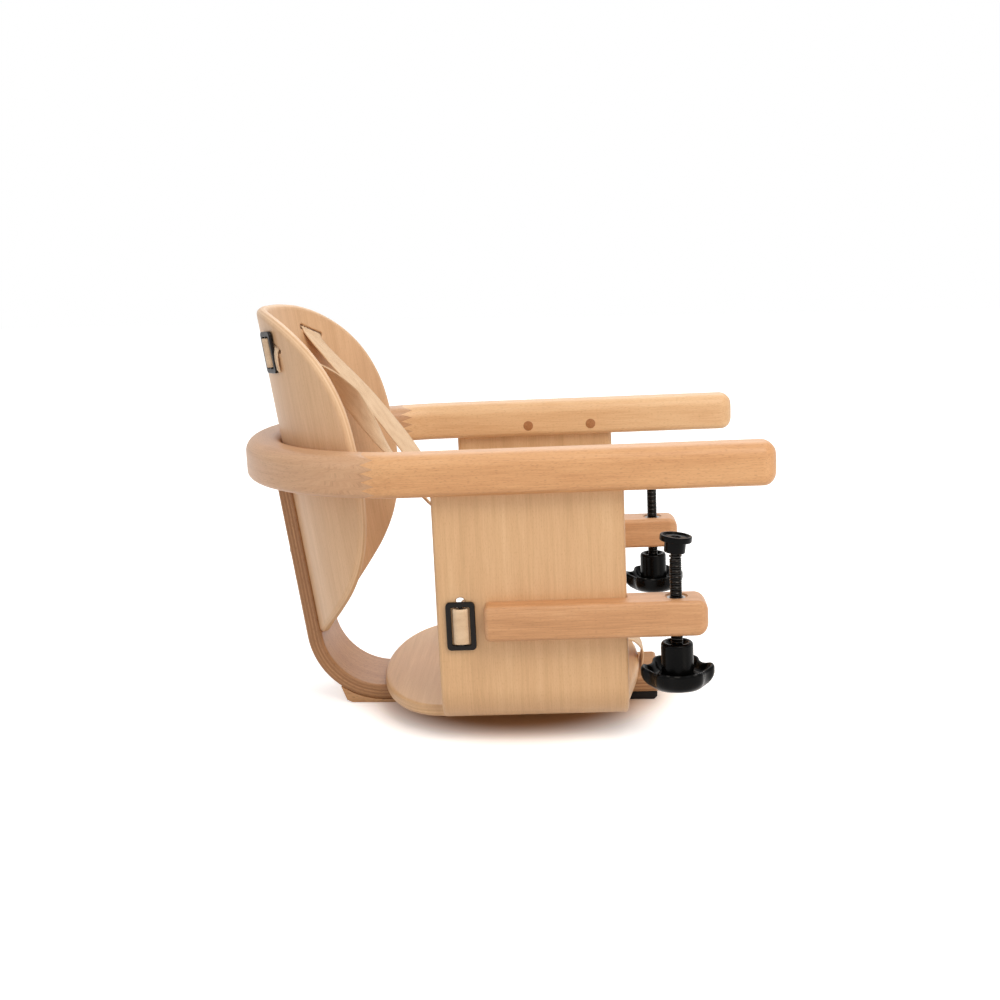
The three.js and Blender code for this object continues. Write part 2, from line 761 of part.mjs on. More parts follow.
function screwRod() {
  const steps = arcSteps;
  const neck = ringTopZ - ringHeight - seatGap;
  const foot = knobHubTopZ - knobHubHeight + seatGap;
  const points = [[0, foot], [screwRadius, foot], [screwRadius, neck], [screwNeckRadius, neck]];
  const start = Math.asin(screwNeckRadius / screwBallRadius);
  for (let i = 0; i <= steps; i += 1) {
    const angle = Math.PI - start - (Math.PI - start) * i / steps;
    points.push([screwBallRadius * Math.sin(angle), ballZ + screwBallRadius * Math.cos(angle)]);
  }
  points[points.length - 1][0] = 0;
  return turned(points);
}

// Outline of the lobed grip: lobes on a circle, joined by hollows.
function lobedOutline(grow) {
  const points = [];
  const steps = knobLobes * arcSteps * 2;
  const middle = (knobRadius + knobRootRadius) / 2;
  const swing = (knobRadius - knobRootRadius) / 2;
  for (let i = 0; i < steps; i += 1) {
    const angle = 2 * Math.PI * i / steps;
    const wave = Math.cos(knobLobes * angle);
    const radius = middle + swing * Math.sign(wave) * Math.abs(wave) ** knobLobeRoundness + grow;
    points.push([radius * Math.cos(angle), radius * Math.sin(angle)]);
  }
  return outline(points);
}

function knob() {
  const top = knobHubTopZ - knobHubHeight;
  const bottom = top - knobBowlHeight;
  const steps = arcSteps;
  const bowl = [[0, bottom], [knobFlatRadius, bottom]];
  for (let i = 1; i <= steps; i += 1) {
    const angle = Math.PI / 2 * i / steps;
    bowl.push([knobFlatRadius + (knobRadius - knobFlatRadius) * Math.sin(angle),
      bottom + knobBowlHeight * bowlShare * (1 - Math.cos(angle))]);
  }
  bowl.push([knobRadius, top], [0, top]);
  const body = common(turned(bowl), prism(lobedOutline(0), 'z', bottom - overrun, top + overrun));
  const dishFloor = top - knobBowlHeight * dishShare;
  const dish = common(
    turned([[0, dishFloor], [knobRootRadius * dishFloorShare, dishFloor], [knobRadius, top - knobWall / 2],
      [knobRadius, top + overrun], [0, top + overrun]]),
    prism(lobedOutline(-knobWall), 'z', bottom - overrun, top + overrun),
  );
  const hub = turned([
    [0, dishFloor - seatGap], [knobHubRadius, dishFloor - seatGap], [knobHubRadius, knobHubTopZ - knobWall],
    [knobHubRadius - knobWall * hubChamferShare, knobHubTopZ - knobWall * hubChamferShare],
    [knobHubRadius - knobWall, knobHubTopZ], [0, knobHubTopZ],
  ]);
  const bore = rod(screwRadius + seatGap, 'z', top, knobHubTopZ + overrun);
  return cut(join(cut(body, dish), hub), bore);
}

function padSolid(tilt) {
  const hubTop = padTopZ - padFlangeHeight;
  const solid = turned([
    [0, padHubBottomZ], [padHubRadius - padRim / 2, padHubBottomZ],
    [padHubRadius, padHubBottomZ + padRim / 2],
    [padHubRadius, hubTop], [padFlangeRadius - padRim / 4, hubTop],
    [padFlangeRadius, hubTop + padRim / 4],
    [padFlangeRadius, padTopZ - padRim / 4], [padFlangeRadius - padRim / 4, padTopZ],
    [padFlangeRadius - padRim, padTopZ], [padFlangeRadius - padRim, padTopZ - padDish],
    [padDish, padTopZ - padDish], [0, padTopZ - padDish],
  ]);
  const socket = new THREE.SphereGeometry(screwBallRadius + runClearance, roundSteps, arcSteps * 2);
  socket.rotateX(Math.PI / 2);
  socket.translate(0, 0, ballZ);
  const flare = turned([
    [0, padHubBottomZ - overrun / 10], [screwBallRadius + runClearance * 4, padHubBottomZ - overrun / 10],
    [screwBallRadius + runClearance * 2, padHubBottomZ], [screwBallRadius + runClearance, ballZ], [0, ballZ],
  ]);
  const pad = cut(solid, solidOf(socket), flare);
  const turn = new THREE.Matrix4().makeTranslation(0, 0, ballZ)
    .multiply(new THREE.Matrix4().makeRotationY(tilt))
    .multiply(new THREE.Matrix4().makeTranslation(0, 0, -ballZ));
  return placed(pad, turn);
}

function snapRing() {
  const low = ringTopZ - ringHeight;
  return turned([
    [screwNeckRadius + runClearance, low], [ringOuterRadius, low], [ringOuterRadius, ringTopZ],
    [screwNeckRadius + runClearance, ringTopZ], [screwNeckRadius + runClearance, low],
  ]);
}

// Harness

// A strap adjuster with two windows and a bar between them, lying in the x-z plane, webbing along x.
function adjuster(webWidth) {
  const half = webWidth / 2 + glideBar + webClear;
  const reach = glideWindow / 2 + glideBar;
  const plate = prism(roundedRectangle(-reach, -half, reach, half,
    [glideCorner, glideCorner, glideCorner, glideCorner]), 'y', -glideThickness / 2, glideThickness / 2);
  const bar = glideBar / 4;
  const windows = [-1, 1].map((side) => box(Math.min(side * bar, side * glideWindow / 2),
    Math.max(side * bar, side * glideWindow / 2), -overrun, overrun,
    -webWidth / 2 - webClear, webWidth / 2 + webClear));
  return cut(plate, ...windows);
}

const waistGlideY = shellHalfWidth + glideThickness / 2 + seatGap;

function waistAdjuster() {
  return moved(adjuster(waistWebWidth), waistGlideX, waistGlideY, waistGlideZ);
}

// The shoulder adjuster lies against the back of the backrest.
function backAdjuster() {
  const radius = backRadius + glideThickness / 2 + seatGap;
  const turn = new THREE.Matrix4()
    .makeTranslation(backRadius, 0, backGlideZ)
    .multiply(new THREE.Matrix4().makeRotationZ(Math.PI / 2 - backGlideAngle))
    .multiply(new THREE.Matrix4().makeTranslation(0, radius, 0));
  return placed(placed(adjuster(shoulderWebWidth), turn), backMatrix);
}

// A flat strap: an outline of the strap's run, seen edge on, pushed across its width.
function ribbonOutline(points, thickness) {
  const curve = new THREE.CatmullRomCurve3(points.map(([u, v]) => new THREE.Vector3(u, v, 0)),
    false, 'centripetal');
  const steps = points.length * 4;
  const upper = [];
  const lower = [];
  for (let i = 0; i <= steps; i += 1) {
    const at = curve.getPoint(i / steps);
    const along = curve.getTangent(i / steps);
    const [nu, nv] = [-along.y * thickness / 2, along.x * thickness / 2];
    upper.push([at.x + nu, at.y + nv]);
    lower.push([at.x - nu, at.y - nv]);
  }
  return outline([...upper, ...lower.reverse()]);
}

const buckleFrontX = buckleX + buckleDepth / 2;

// Shoulder strap: from its slanted slot in the backrest, hanging slack, down to the buckle's top.
function shoulderStrap() {
  const reach = backRadius - backThickness - webThickness;
  const angle = Math.asin(shoulderSlotY / reach);
  const slant = Math.atan(Math.tan(shoulderSlotSlant) * Math.cos(angle));
  const from = new THREE.Vector3(backRadius - reach * Math.cos(angle), shoulderSlotY,
    shoulderSlotZ - shoulderSlotHeight).applyMatrix4(backMatrix);
  const slotLine = new THREE.Vector3(Math.sin(angle) * Math.cos(slant), Math.cos(angle) * Math.cos(slant),
    -Math.sin(slant)).transformDirection(backMatrix);
  const to = new THREE.Vector3(buckleX, shoulderWebWidth / 2 + webClear,
    buckleZ + buckleHeight / 2 + webClear);
  const run = strapRun.map(([x, y, z]) => new THREE.Vector3(x, y, z));
  const path = new THREE.CatmullRomCurve3([from, ...run, to], false, 'centripetal');
  const section = new THREE.Shape();
  section.moveTo(-webThickness / 2, -shoulderWebWidth / 2);
  section.lineTo(webThickness / 2, -shoulderWebWidth / 2);
  section.lineTo(webThickness / 2, shoulderWebWidth / 2);
  section.lineTo(-webThickness / 2, shoulderWebWidth / 2);
  const steps = arcSteps * 5;
  const positions = [];
  const level = new THREE.Vector3(0, 1, 0);
  for (let i = 0; i <= steps; i += 1) {
    const at = path.getPoint(i / steps);
    const along = path.getTangent(i / steps);
    const across = slotLine.clone().lerp(level, Math.min(2 * i / steps, 1));
    const normal = along.clone().cross(across).normalize();
    for (const point of section.getPoints(1).slice(0, 4)) {
      const corner = at.clone().addScaledVector(normal, point.x).addScaledVector(across, point.y);
      positions.push(corner.x, corner.y, corner.z);
    }
  }
  const index = [0, 2, 1, 0, 3, 2];
  for (let i = 0; i < steps; i += 1) {
    for (let k = 0; k < 4; k += 1) {
      const [a, b] = [4 * i + k, 4 * i + (k + 1) % 4];
      index.push(a, b, b + 4, a, b + 4, a + 4);
    }
  }
  const last = 4 * steps;
  index.push(last, last + 1, last + 2, last, last + 2, last + 3);
  const geometry = new THREE.BufferGeometry();
  geometry.setAttribute('position', new THREE.Float32BufferAttribute(positions, 3));
  geometry.setIndex(index);
  return solidOf(geometry);
}

// Waist strap: from its tongue, through the slot in the panel, to the adjuster outside.
function waistStrap() {
  const outside = shellHalfWidth - webThickness;
  const inside = shellHalfWidth - shellThickness;
  const points = [
    [buckleX, buckleWidth / 2 + tongueLoopDepth + webClear],
    [(buckleX + waistSlotX) / 2, (buckleWidth / 2 + inside) / 2 + webClear],
    [waistSlotX + waistSlotWidth / 2, inside - shellThickness],
    [waistSlotX, inside + shellThickness / 4],
    [waistSlotX, outside],
  ];
  return prism(ribbonOutline(points, webThickness), 'z', waistSlotZ - waistWebWidth / 2 - webClear,
    waistSlotZ + waistWebWidth / 2 - webClear);
}

// Crotch strap: round the front edge of the seat and up to the buckle.
function crotchStrap() {
  const points = [
    [frontBulge + webThickness + seatGap * 2, seatUnderside + webThickness],
    [frontBulge + webThickness * 2, seatTop - webThickness],
    [frontBulge / 2, seatTop + shellThickness * 1.3],
    [(buckleX + frontBulge) / 2, (seatTop + buckleZ - buckleHeight / 2) / 2],
    [buckleX, buckleZ - buckleHeight / 2 - webClear],
  ];
  return prism(ribbonOutline(points, webThickness), 'y', -waistWebWidth / 2, waistWebWidth / 2);
}

function buckleBody() {
  const half = buckleWidth / 2;
  const tall = buckleHeight / 2;
  const solid = prism(roundedRectangle(-half, buckleZ - tall, half, buckleZ + tall,
    [buckleCorner, buckleCorner, buckleCorner, buckleCorner]), 'x',
  buckleX - buckleDepth / 2, buckleFrontX);
  const well = moved(rod(buckleButtonRadius + runClearance, 'x',
    buckleFrontX - buckleButtonDepth, buckleFrontX + overrun), 0, 0, buckleZ);
  const throat = tongueBladeThickness / 2 + seatGap;
  const mouths = [-1, 1].map((side) => box(buckleX - throat, buckleX + throat,
    Math.min(side * (half - tongueBladeLength + seatGap), side * (half + overrun)),
    Math.max(side * (half - tongueBladeLength + seatGap), side * (half + overrun)),
    buckleZ - tongueBladeWidth / 2 - seatGap, buckleZ + tongueBladeWidth / 2 + seatGap));
  return cut(solid, well, ...mouths);
}

function buckleButton() {
  return moved(rod(buckleButtonRadius, 'x', buckleFrontX - buckleButtonDepth + buckleButtonTravel + seatGap,
    buckleFrontX + buckleButtonProud), 0, 0, buckleZ);
}

function buckleTongue() {
  const half = buckleWidth / 2;
  const blade = box(buckleX - tongueBladeThickness / 2, buckleX + tongueBladeThickness / 2,
    half - tongueBladeLength + seatGap * 2, half + tongueBladeThickness,
    buckleZ - tongueBladeWidth / 2, buckleZ + tongueBladeWidth / 2);
  const loopHalf = waistWebWidth / 2 + tongueBladeThickness;
  const near = half + seatGap;
  const loop = prism(roundedRectangle(near, waistSlotZ - webClear - loopHalf, near + tongueLoopDepth,
    waistSlotZ - webClear + loopHalf, [glideCorner, glideCorner, glideCorner, glideCorner]),
  'x', buckleX - tongueBladeThickness / 2, buckleX + tongueBladeThickness / 2);
  const eye = box(buckleX - overrun, buckleX + overrun, near + tongueBladeThickness * 1.5,
    near + tongueLoopDepth - tongueBladeThickness, waistSlotZ - webClear - waistWebWidth / 2 - seatGap,
    waistSlotZ - webClear + waistWebWidth / 2 + seatGap);
  return cut(join(blade, loop), eye);
}

// Assembly

const chair = new THREE.Group();

function add(name, solid, finish, home = chair) {
  const material = new THREE.MeshStandardMaterial({ ...colours[finish], flatShading: true });
  const mesh = new THREE.Mesh(geometryOf(solid), material);
  mesh.name = name;
  home.add(mesh);
}

// Both hands of a piece that is drawn on the sitter's left.
function addPair(name, solid, finish) {
  add(`left_${name}`, solid, finish);
  add(`right_${name}`, mirrored(solid), finish);
}

const rail = cut(wholeRail(), backSeatTool(), ...railScrewHoles(screwShankRadius + seatGap));
const groove = box(-shellDepth - seatGap, seatGap, shellHalfWidth - shellThickness - seatGap,
  shellHalfWidth + seatGap, -overrun, panelTenon + seatGap);
const arms = cut(rail, behindFingers(seatGap), groove, mirrored(groove), ...dowelHoles());
const leftSide = box(fingerJointX - overrun, armFrontX + overrun, 0, railOuterRadius + overrun,
  -overrun, railHeight + overrun);

add('back_rail', cut(common(rail, behindFingers(0)), spineSlab(seatGap)), 'paleBeech');
add('left_arm', common(arms, leftSide), 'beech');
add('right_arm', common(arms, mirrored(leftSide)), 'beech');
add('seat_shell', seatShell(), 'plywood');
add('backrest_shell', backrestShell(), 'plywood');
add('spine', spine(), 'laminate');
add('rear_pad', rearPad(), 'plug');
add('front_foot', frontFoot(), 'rubber');
add('foot_screw', footScrew(), 'steel');

for (const [place, x] of dowelPlaces) addPair(`${place}_dowel`, dowel(x), 'plug');
for (const [place, x] of seatScrewPlaces) add(`${place}_seat_screw`, seatScrew(x), 'steel');
for (const [name, side] of [['left', 1], ['right', -1]]) {
  add(`${name}_rail_screw`, railScrew(side), 'steel');
  add(`${name}_back_screw`, backScrew(side), 'steel');
}

addPair('clamp_arm', clampArm(), 'beech');
addPair('threaded_insert', threadedInsert(), 'steel');
for (const [place, x, z] of clampScrewPlaces()) {
  addPair(`${place}_clamp_arm_screw`, clampScrew(x, z), 'steel');
}

for (const [hand, side, tilt] of [['left', 1, 0], ['right', -1, padTilt]]) {
  const axis = new THREE.Group();
  axis.position.set(screwX, side * screwY, 0);
  chair.add(axis);
  add(`${hand}_clamp_screw`, screwRod(), 'blackSteel', axis);
  add(`${hand}_knob`, knob(), 'blackPlastic', axis);
  add(`${hand}_swivel_pad`, padSolid(tilt), 'blackPlastic', axis);
  add(`${hand}_snap_ring`, snapRing(), 'steel', axis);
}

addPair('waist_adjuster', waistAdjuster(), 'blackPlastic');
addPair('shoulder_adjuster', backAdjuster(), 'blackPlastic');
addPair('waist_strap', waistStrap(), 'webbing');
addPair('shoulder_strap', shoulderStrap(), 'webbing');
add('crotch_strap', crotchStrap(), 'webbing');
add('buckle_body', buckleBody(), 'blackPlastic');
add('buckle_button', buckleButton(), 'blackPlastic');
addPair('buckle_tongue', buckleTongue(), 'blackPlastic');

// The chair tips back onto its rear pad and front foot, and its own middle stands over the origin.
chair.rotation.y = -chairLean;
chair.updateMatrixWorld(true);
const bounds = new THREE.Box3().setFromObject(chair, true);
chair.position.set(-(bounds.min.x + bounds.max.x) / 2, 0, -bounds.min.z);

const part = new THREE.Group();
part.add(chair);

export default part;
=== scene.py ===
"""Looks of a hook-on table chair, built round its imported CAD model.

Every piece is drawn in the chair's own millimetres, in which the underside of the arms is z = 0 and the
front edge of the side panels is x = 0, and is then tipped back with the chair onto its pad and foot.
"""

from __future__ import annotations

import json
import logging
import math
from dataclasses import dataclass, field
from enum import Enum
from functools import cache, partial
from typing import Callable, Iterable, Sequence

import bmesh
import bpy
import numpy as np
from mathutils import Matrix, Vector
from mathutils.geometry import delaunay_2d_cdt

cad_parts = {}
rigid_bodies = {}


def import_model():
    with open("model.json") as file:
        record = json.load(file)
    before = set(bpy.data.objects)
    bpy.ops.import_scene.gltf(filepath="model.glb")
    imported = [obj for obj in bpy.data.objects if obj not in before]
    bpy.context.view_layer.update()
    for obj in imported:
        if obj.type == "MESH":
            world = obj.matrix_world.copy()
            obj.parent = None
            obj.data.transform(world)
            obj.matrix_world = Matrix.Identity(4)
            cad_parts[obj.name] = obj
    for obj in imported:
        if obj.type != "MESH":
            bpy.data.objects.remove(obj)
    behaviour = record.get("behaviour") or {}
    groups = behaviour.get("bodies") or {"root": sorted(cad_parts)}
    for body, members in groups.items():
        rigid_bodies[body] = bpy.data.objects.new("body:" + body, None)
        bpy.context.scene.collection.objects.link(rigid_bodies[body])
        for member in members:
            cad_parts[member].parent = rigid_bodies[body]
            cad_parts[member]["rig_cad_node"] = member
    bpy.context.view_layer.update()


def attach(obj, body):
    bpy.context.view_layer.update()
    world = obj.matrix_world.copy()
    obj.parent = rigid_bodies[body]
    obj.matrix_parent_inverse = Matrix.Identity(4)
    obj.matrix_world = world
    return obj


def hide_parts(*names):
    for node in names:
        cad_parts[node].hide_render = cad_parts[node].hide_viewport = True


LOG = logging.getLogger("chair")

MM = 0.001
LEAN = 0.021425
CHAIR = Matrix.Translation((0.108239, 0.0, 0.221563)) @ Matrix.Rotation(-LEAN, 4, "Y") @ Matrix.Scale(MM, 4)
GRAIN = "grain"
HANDS = (("left", 1), ("right", -1))
OTHER_HAND_GRAIN = 900.0
PANEL_FACE = 155.0
GAP = 0.3
WEB_SHARP = 60.0
SOFT_FROM = math.radians(40)
MATH = "ShaderNodeMath"
MAPPING = "ShaderNodeMapping"

Point2 = tuple[float, float]
Point3 = tuple[float, float, float]
Face = tuple[int, ...]
Tree = bpy.types.NodeTree
Socket = bpy.types.NodeSocket


class Slot(Enum):
    """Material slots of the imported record."""

    BEECH = "beech"
    BENT_BEECH = "bent_beech"
    PLY = "moulded_ply"
    STRIP = "laminated_strip"
    PLUG = "end_grain_plug"
    RUBBER = "rubber"
    STEEL = "steel"
    BLACK_STEEL = "black_steel"
    PLASTIC = "black_plastic"
    WEBBING = "webbing"


# Colours and nodes


def linear(code: str) -> tuple[float, float, float, float]:
    """Turn an sRGB hex colour into linear red, green, blue and a full alpha."""
    channels = [int(code[i : i + 2], 16) / 255 for i in (1, 3, 5)]
    return (*(c / 12.92 if c <= 0.04045 else ((c + 0.055) / 1.055) ** 2.4 for c in channels), 1.0)


def add_node(tree: Tree, kind: str, sockets: dict | Sequence = (), out: int | str = 0,
             stops: Sequence[tuple[float, str]] = (), **settings: object) -> Socket | None:
    """Add one node with its settings, values and links.

    Args:
        tree: The tree that gets the node.
        kind: Blender's name for the node's type.
        sockets: Values or output sockets for its inputs, in order or by name.
        out: Number or name of the output that is wanted.
        stops: Positions and sRGB hex colours of its colour ramp.
        settings: Properties of the node itself.

    Returns:
        The wanted output, or None from a node without outputs.
    """
    node = tree.nodes.new(kind)
    for name, value in settings.items():
        setattr(node, name, value)
    for name, value in sockets.items() if isinstance(sockets, dict) else enumerate(sockets):
        if isinstance(value, Socket):
            tree.links.new(value, node.inputs[name])
        else:
            node.inputs[name].default_value = value
    if stops:
        elements = node.color_ramp.elements
        while len(elements) < len(stops):
            elements.new(0.5)
        for element, (position, code) in zip(elements, stops):
            element.position, element.color = position, linear(code)
    return node.outputs[out] if len(node.outputs) else None


def cells(tree: Tree, place: Socket, size: Point3, detail: float = 3.0, rough: float = 0.5,
          shift: Point3 = (0.0, 0.0, 0.0)) -> Socket:
    """Lay a noise whose cells have real sizes over a place in millimetres.

    Args:
        tree: The material's tree.
        place: Where the pattern is read.
        size: Length of a cell along each axis.
        detail: Levels of finer noise.
        rough: Strength of the finer noise.
        shift: Offset of the pattern, in cells.

    Returns:
        The noise's value, about 0.5 on average.
    """
    scale = tuple(1 / length for length in size)
    scaled = add_node(tree, MAPPING, {"Vector": place, "Location": shift, "Scale": scale})
    sockets = {"Vector": scaled, "Scale": 1.0, "Detail": detail, "Roughness": rough}
    return add_node(tree, "ShaderNodeTexNoise", sockets, "Fac")


def millimetres(tree: Tree) -> Socket:
    """Give the place on a piece in millimetres."""
    place = add_node(tree, "ShaderNodeTexCoord", out="Object")
    return add_node(tree, MAPPING, {"Vector": place, "Scale": (1 / MM,) * 3})


def empty_material(name: str) -> bpy.types.Material:
    """Make a material without nodes.

    Args:
        name: The material's name.

    Returns:
        The material.
    """
    material = bpy.data.materials.new(name)
    material.use_nodes = True
    material.node_tree.nodes.clear()
    return material


# Finishes


@dataclass(frozen=True)
class Finish:
    """What every finish has: a name, its slot in the record and a way to become a material."""

    name: str
    slot: Slot

    def sockets(self, tree: Tree) -> dict[str, object]:
        """Give the values and links of the finish's shader."""
        raise NotImplementedError

    @cache
    def material(self) -> bpy.types.Material:
        """Build the material at the first call and hand it out again later.

        Returns:
            The finished material.
        """
        material = empty_material(self.name)
        tree = material.node_tree
        shader = add_node(tree, "ShaderNodeBsdfPrincipled", self.sockets(tree))
        add_node(tree, "ShaderNodeOutputMaterial", (shader,))
        return material


@dataclass(frozen=True)
class WoodFinish(Finish):
    """Wood under a thin satin lacquer, whose grain runs along the first axis of the grain attribute."""

    pale: str
    middle: str
    dark: str
    fleck: str
    fleck_share: float = 0.5
    fleck_length: float = 3.2
    fleck_width: float = 0.55
    broad_length: float = 260.0
    streak_length: float = 140.0
    streak_width: float = 9.0
    fibre_length: float = 26.0
    fibre_width: float = 0.9
    fibre_share: float = 0.34
    waver: float = 0.5
    layer: float = 0.0
    thickness: float = 0.0
    layer_and_highlight: str = "#9a6a42"
    layer_share: float = 0.8
    glue: str = "#6b4526"
    roughness: float = 0.46
    coat: float = 0.12
    shift: float = 0.0

    def sockets(self, tree: Tree) -> dict[str, object]:
        """Draw the wood's streaks, fibres and flecks.

        Args:
            tree: The material's tree.

        Returns:
            Values and links of the shader.
        """
        times = partial(add_node, tree, MATH, operation="MULTIPLY")
        fuse = partial(add_node, tree, MATH, operation="MULTIPLY_ADD")
        place = add_node(tree, "ShaderNodeAttribute", out="Vector", attribute_name=GRAIN)
        shift = (self.shift, self.shift * 0.37, 0.0)
        patterns = (
            (self.broad_length, self.streak_width * 3, 2.0, 0.5),
            (self.streak_length, self.streak_width, 4.0, 0.6),
            (self.fibre_length, self.fibre_width, 2.0, 0.6),
            (self.fleck_length, self.fleck_width, 0.0, 0.5),
        )
        broad, streak, fibre, spots = (cells(tree, place, (length, width, width), detail, rough, shift)
                                       for length, width, detail, rough in patterns)
        tone = fuse((streak, 0.5, times((broad, 0.5))))
        tone = fuse((fibre, self.fibre_share, times((tone, 1 - self.fibre_share))))
        colour = add_node(tree, "ShaderNodeValToRGB", (tone,),
                          stops=((0.34, self.dark), (0.5, self.middle), (0.66, self.pale)))
        # Beech's rays show as short flecks, drawn about twice their real width so that they show.
        spots = add_node(tree, MATH, (spots, 0.60), operation="SUBTRACT")
        fleck = times((times((spots, 7.0), use_clamp=True), self.fleck_share))
        sockets = {0: fleck, 6: colour, 7: linear(self.fleck)}
        colour = add_node(tree, "ShaderNodeMix", sockets, 2, data_type="RGBA")
        height = fuse((fibre, 0.5, times((fleck, -0.5))))
        if self.layer:
            colour, height = self.layered(tree, place, colour, height)
        bump = add_node(tree, "ShaderNodeBump", {"Height": height, "Strength": 0.18, "Distance": 0.0001})
        return {"Base Color": colour, "Roughness": fuse((fibre, 0.12, self.roughness - 0.06)), "Normal": bump,
                "IOR": 1.5, "Coat Weight": self.coat, "Coat Roughness": 0.28}

    def layered(self, tree: Tree, place: Socket, colour: Socket, height: Socket) -> tuple[Socket, Socket]:
        """Show the veneers and their glue lines where the sheet's edge cuts through them.

        Args:
            tree: The material's tree.
            place: Place in the sheet, whose third value is the height from its middle.
            colour: Colour of the face veneer.
            height: Height of the face's bump.

        Returns:
            The colour and the bump height with the layers in.
        """
        add = partial(add_node, tree)
        times = partial(add, MATH, operation="MULTIPLY")
        less = partial(add, MATH, operation="SUBTRACT")
        mix = partial(add, "ShaderNodeMix", out=2, data_type="RGBA")
        depth = add("ShaderNodeSeparateXYZ", (place,), 2)
        waver = times((less((cells(tree, place, (60.0, 60.0, 9.0), 1.0), 0.5)), self.waver))
        turn = add(MATH, (add(MATH, (depth, waver)), self.thickness / 2))
        turn = add(MATH, (turn, self.layer), operation="DIVIDE")
        number = add(MATH, (turn,), operation="FLOOR")
        odd = add("ShaderNodeTexWhiteNoise", {"W": number}, "Value", noise_dimensions="1D")
        parity = times((add(MATH, (number, 1.0), operation="PINGPONG"), 0.6))
        shade = add(MATH, (odd, 0.4, parity), operation="MULTIPLY_ADD")
        # With a pale layer colour, as on the backrest, this rim colour is a painted highlight instead of
        # veneer layers.
        edge = mix({0: shade, 6: colour, 7: linear(self.layer_and_highlight)})
        within = add(MATH, (less((add(MATH, (turn,), operation="FRACT"), 0.5)),), operation="ABSOLUTE")
        glue = times((less((within, 0.40)), 8.0), use_clamp=True)
        edge = mix({0: times((glue, 0.45)), 6: edge, 7: linear(self.glue)})
        inside = less((self.thickness / 2 - 0.35, add(MATH, (depth,), operation="ABSOLUTE")))
        rim = times((inside, 6.0), use_clamp=True)
        return (mix({0: times((rim, self.layer_share)), 6: colour, 7: edge}),
                less((height, times((times((glue, rim)), 0.6)))))


@dataclass(frozen=True)
class PlasticFinish(Finish):
    """Injection-moulded black plastic: a fine spark-eroded texture, and gloss where hands polish it."""

    colour: str = "#0d0d0c"
    roughness: float = 0.34
    metallic: float = 0.0
    grain: float = 0.5
    bump: float = 0.12
    worn: str = "#1b1917"
    specular: float = 0.22

    def sockets(self, tree: Tree) -> dict[str, object]:
        """Draw the texture and the worn patches.

        Args:
            tree: The material's tree.

        Returns:
            Values and links of the shader.
        """
        place = millimetres(tree)
        fine = cells(tree, place, (self.grain,) * 3, 2.0)
        worn = cells(tree, place, (11.0,) * 3)
        share = add_node(tree, MATH, (worn, 0.35), operation="MULTIPLY")
        colour = add_node(tree, "ShaderNodeMix", {0: share, 6: linear(self.colour), 7: linear(self.worn)}, 2,
                          data_type="RGBA")
        rough = add_node(tree, MATH, (worn, 0.16, self.roughness - 0.08), operation="MULTIPLY_ADD")
        bump = add_node(tree, "ShaderNodeBump", {"Height": fine, "Strength": self.bump, "Distance": 0.00008})
        made = {"Base Color": colour, "Roughness": rough, "Normal": bump, "Metallic": self.metallic}
        return made if self.metallic else {**made, "Specular IOR Level": self.specular}


@dataclass(frozen=True)
class WebbingFinish(Finish):
    """Flat woven cotton webbing: a herringbone of threads, with a tight selvage."""

    pale: str = "#e8caa8"
    dark: str = "#bf9a74"
    bright: str = "#f3dcc0"
    thread: float = 1.05
    chevron: float = 3.1

    def sockets(self, tree: Tree) -> dict[str, object]:
        """Draw the weave.

        Args:
            tree: The material's tree.

        Returns:
            Values and links of the shader.
        """
        add = partial(add_node, tree)
        times = partial(add, MATH, operation="MULTIPLY")
        fuse = partial(add, MATH, operation="MULTIPLY_ADD")
        fold = partial(add, MATH, operation="PINGPONG")
        place = add("ShaderNodeAttribute", out="Vector", attribute_name=GRAIN)
        along, across = (add("ShaderNodeSeparateXYZ", (place,), axis) for axis in (0, 1))
        # A real thread is about 0.5 mm wide; it is drawn at twice that so that the weave shows.
        slant = add(MATH, (add(MATH, (along, fold((across, self.chevron)))), self.thread), operation="DIVIDE")
        twill = times((fold((slant, 0.5)), 2.0))
        cross = times((fold((add(MATH, (across, self.thread), operation="DIVIDE"), 0.5)), 2.0))
        weave = fuse((twill, 0.7, times((cross, 0.3))))
        tone = fuse((weave, 0.55, times((cells(tree, place, (14.0, 5.0, 5.0)), 0.45))))
        stops = ((0.2, self.dark), (0.55, self.pale), (0.9, self.bright))
        colour = add("ShaderNodeValToRGB", (tone,), stops=stops)
        bump = add("ShaderNodeBump", {"Height": weave, "Strength": 0.45, "Distance": 0.0003})
        return {"Base Color": colour, "Roughness": 0.92, "Normal": bump, "Sheen Weight": 0.25,
                "Sheen Roughness": 0.5, "Specular IOR Level": 0.2}


@dataclass(frozen=True)
class MetalFinish(Finish):
    """Zinc-plated steel with faint drawing marks."""

    colour: str = "#b9bbbd"
    mark: str = "#55524e"
    roughness: float = 0.3

    def sockets(self, tree: Tree) -> dict[str, object]:
        """Draw the marks.

        Args:
            tree: The material's tree.

        Returns:
            Values and links of the shader.
        """
        marks = cells(tree, millimetres(tree), (0.6, 0.6, 6.0))
        share = add_node(tree, MATH, (marks, 0.4), operation="MULTIPLY")
        colour = add_node(tree, "ShaderNodeMix", {0: share, 6: linear(self.colour), 7: linear(self.mark)}, 2,
                          data_type="RGBA")
        bump = add_node(tree, "ShaderNodeBump", {"Height": marks, "Strength": 0.1, "Distance": 0.00005})
        rough = add_node(tree, MATH, (marks, 0.2, self.roughness - 0.1), operation="MULTIPLY_ADD")
        return {"Base Color": colour, "Metallic": 1.0, "Normal": bump, "Roughness": rough}


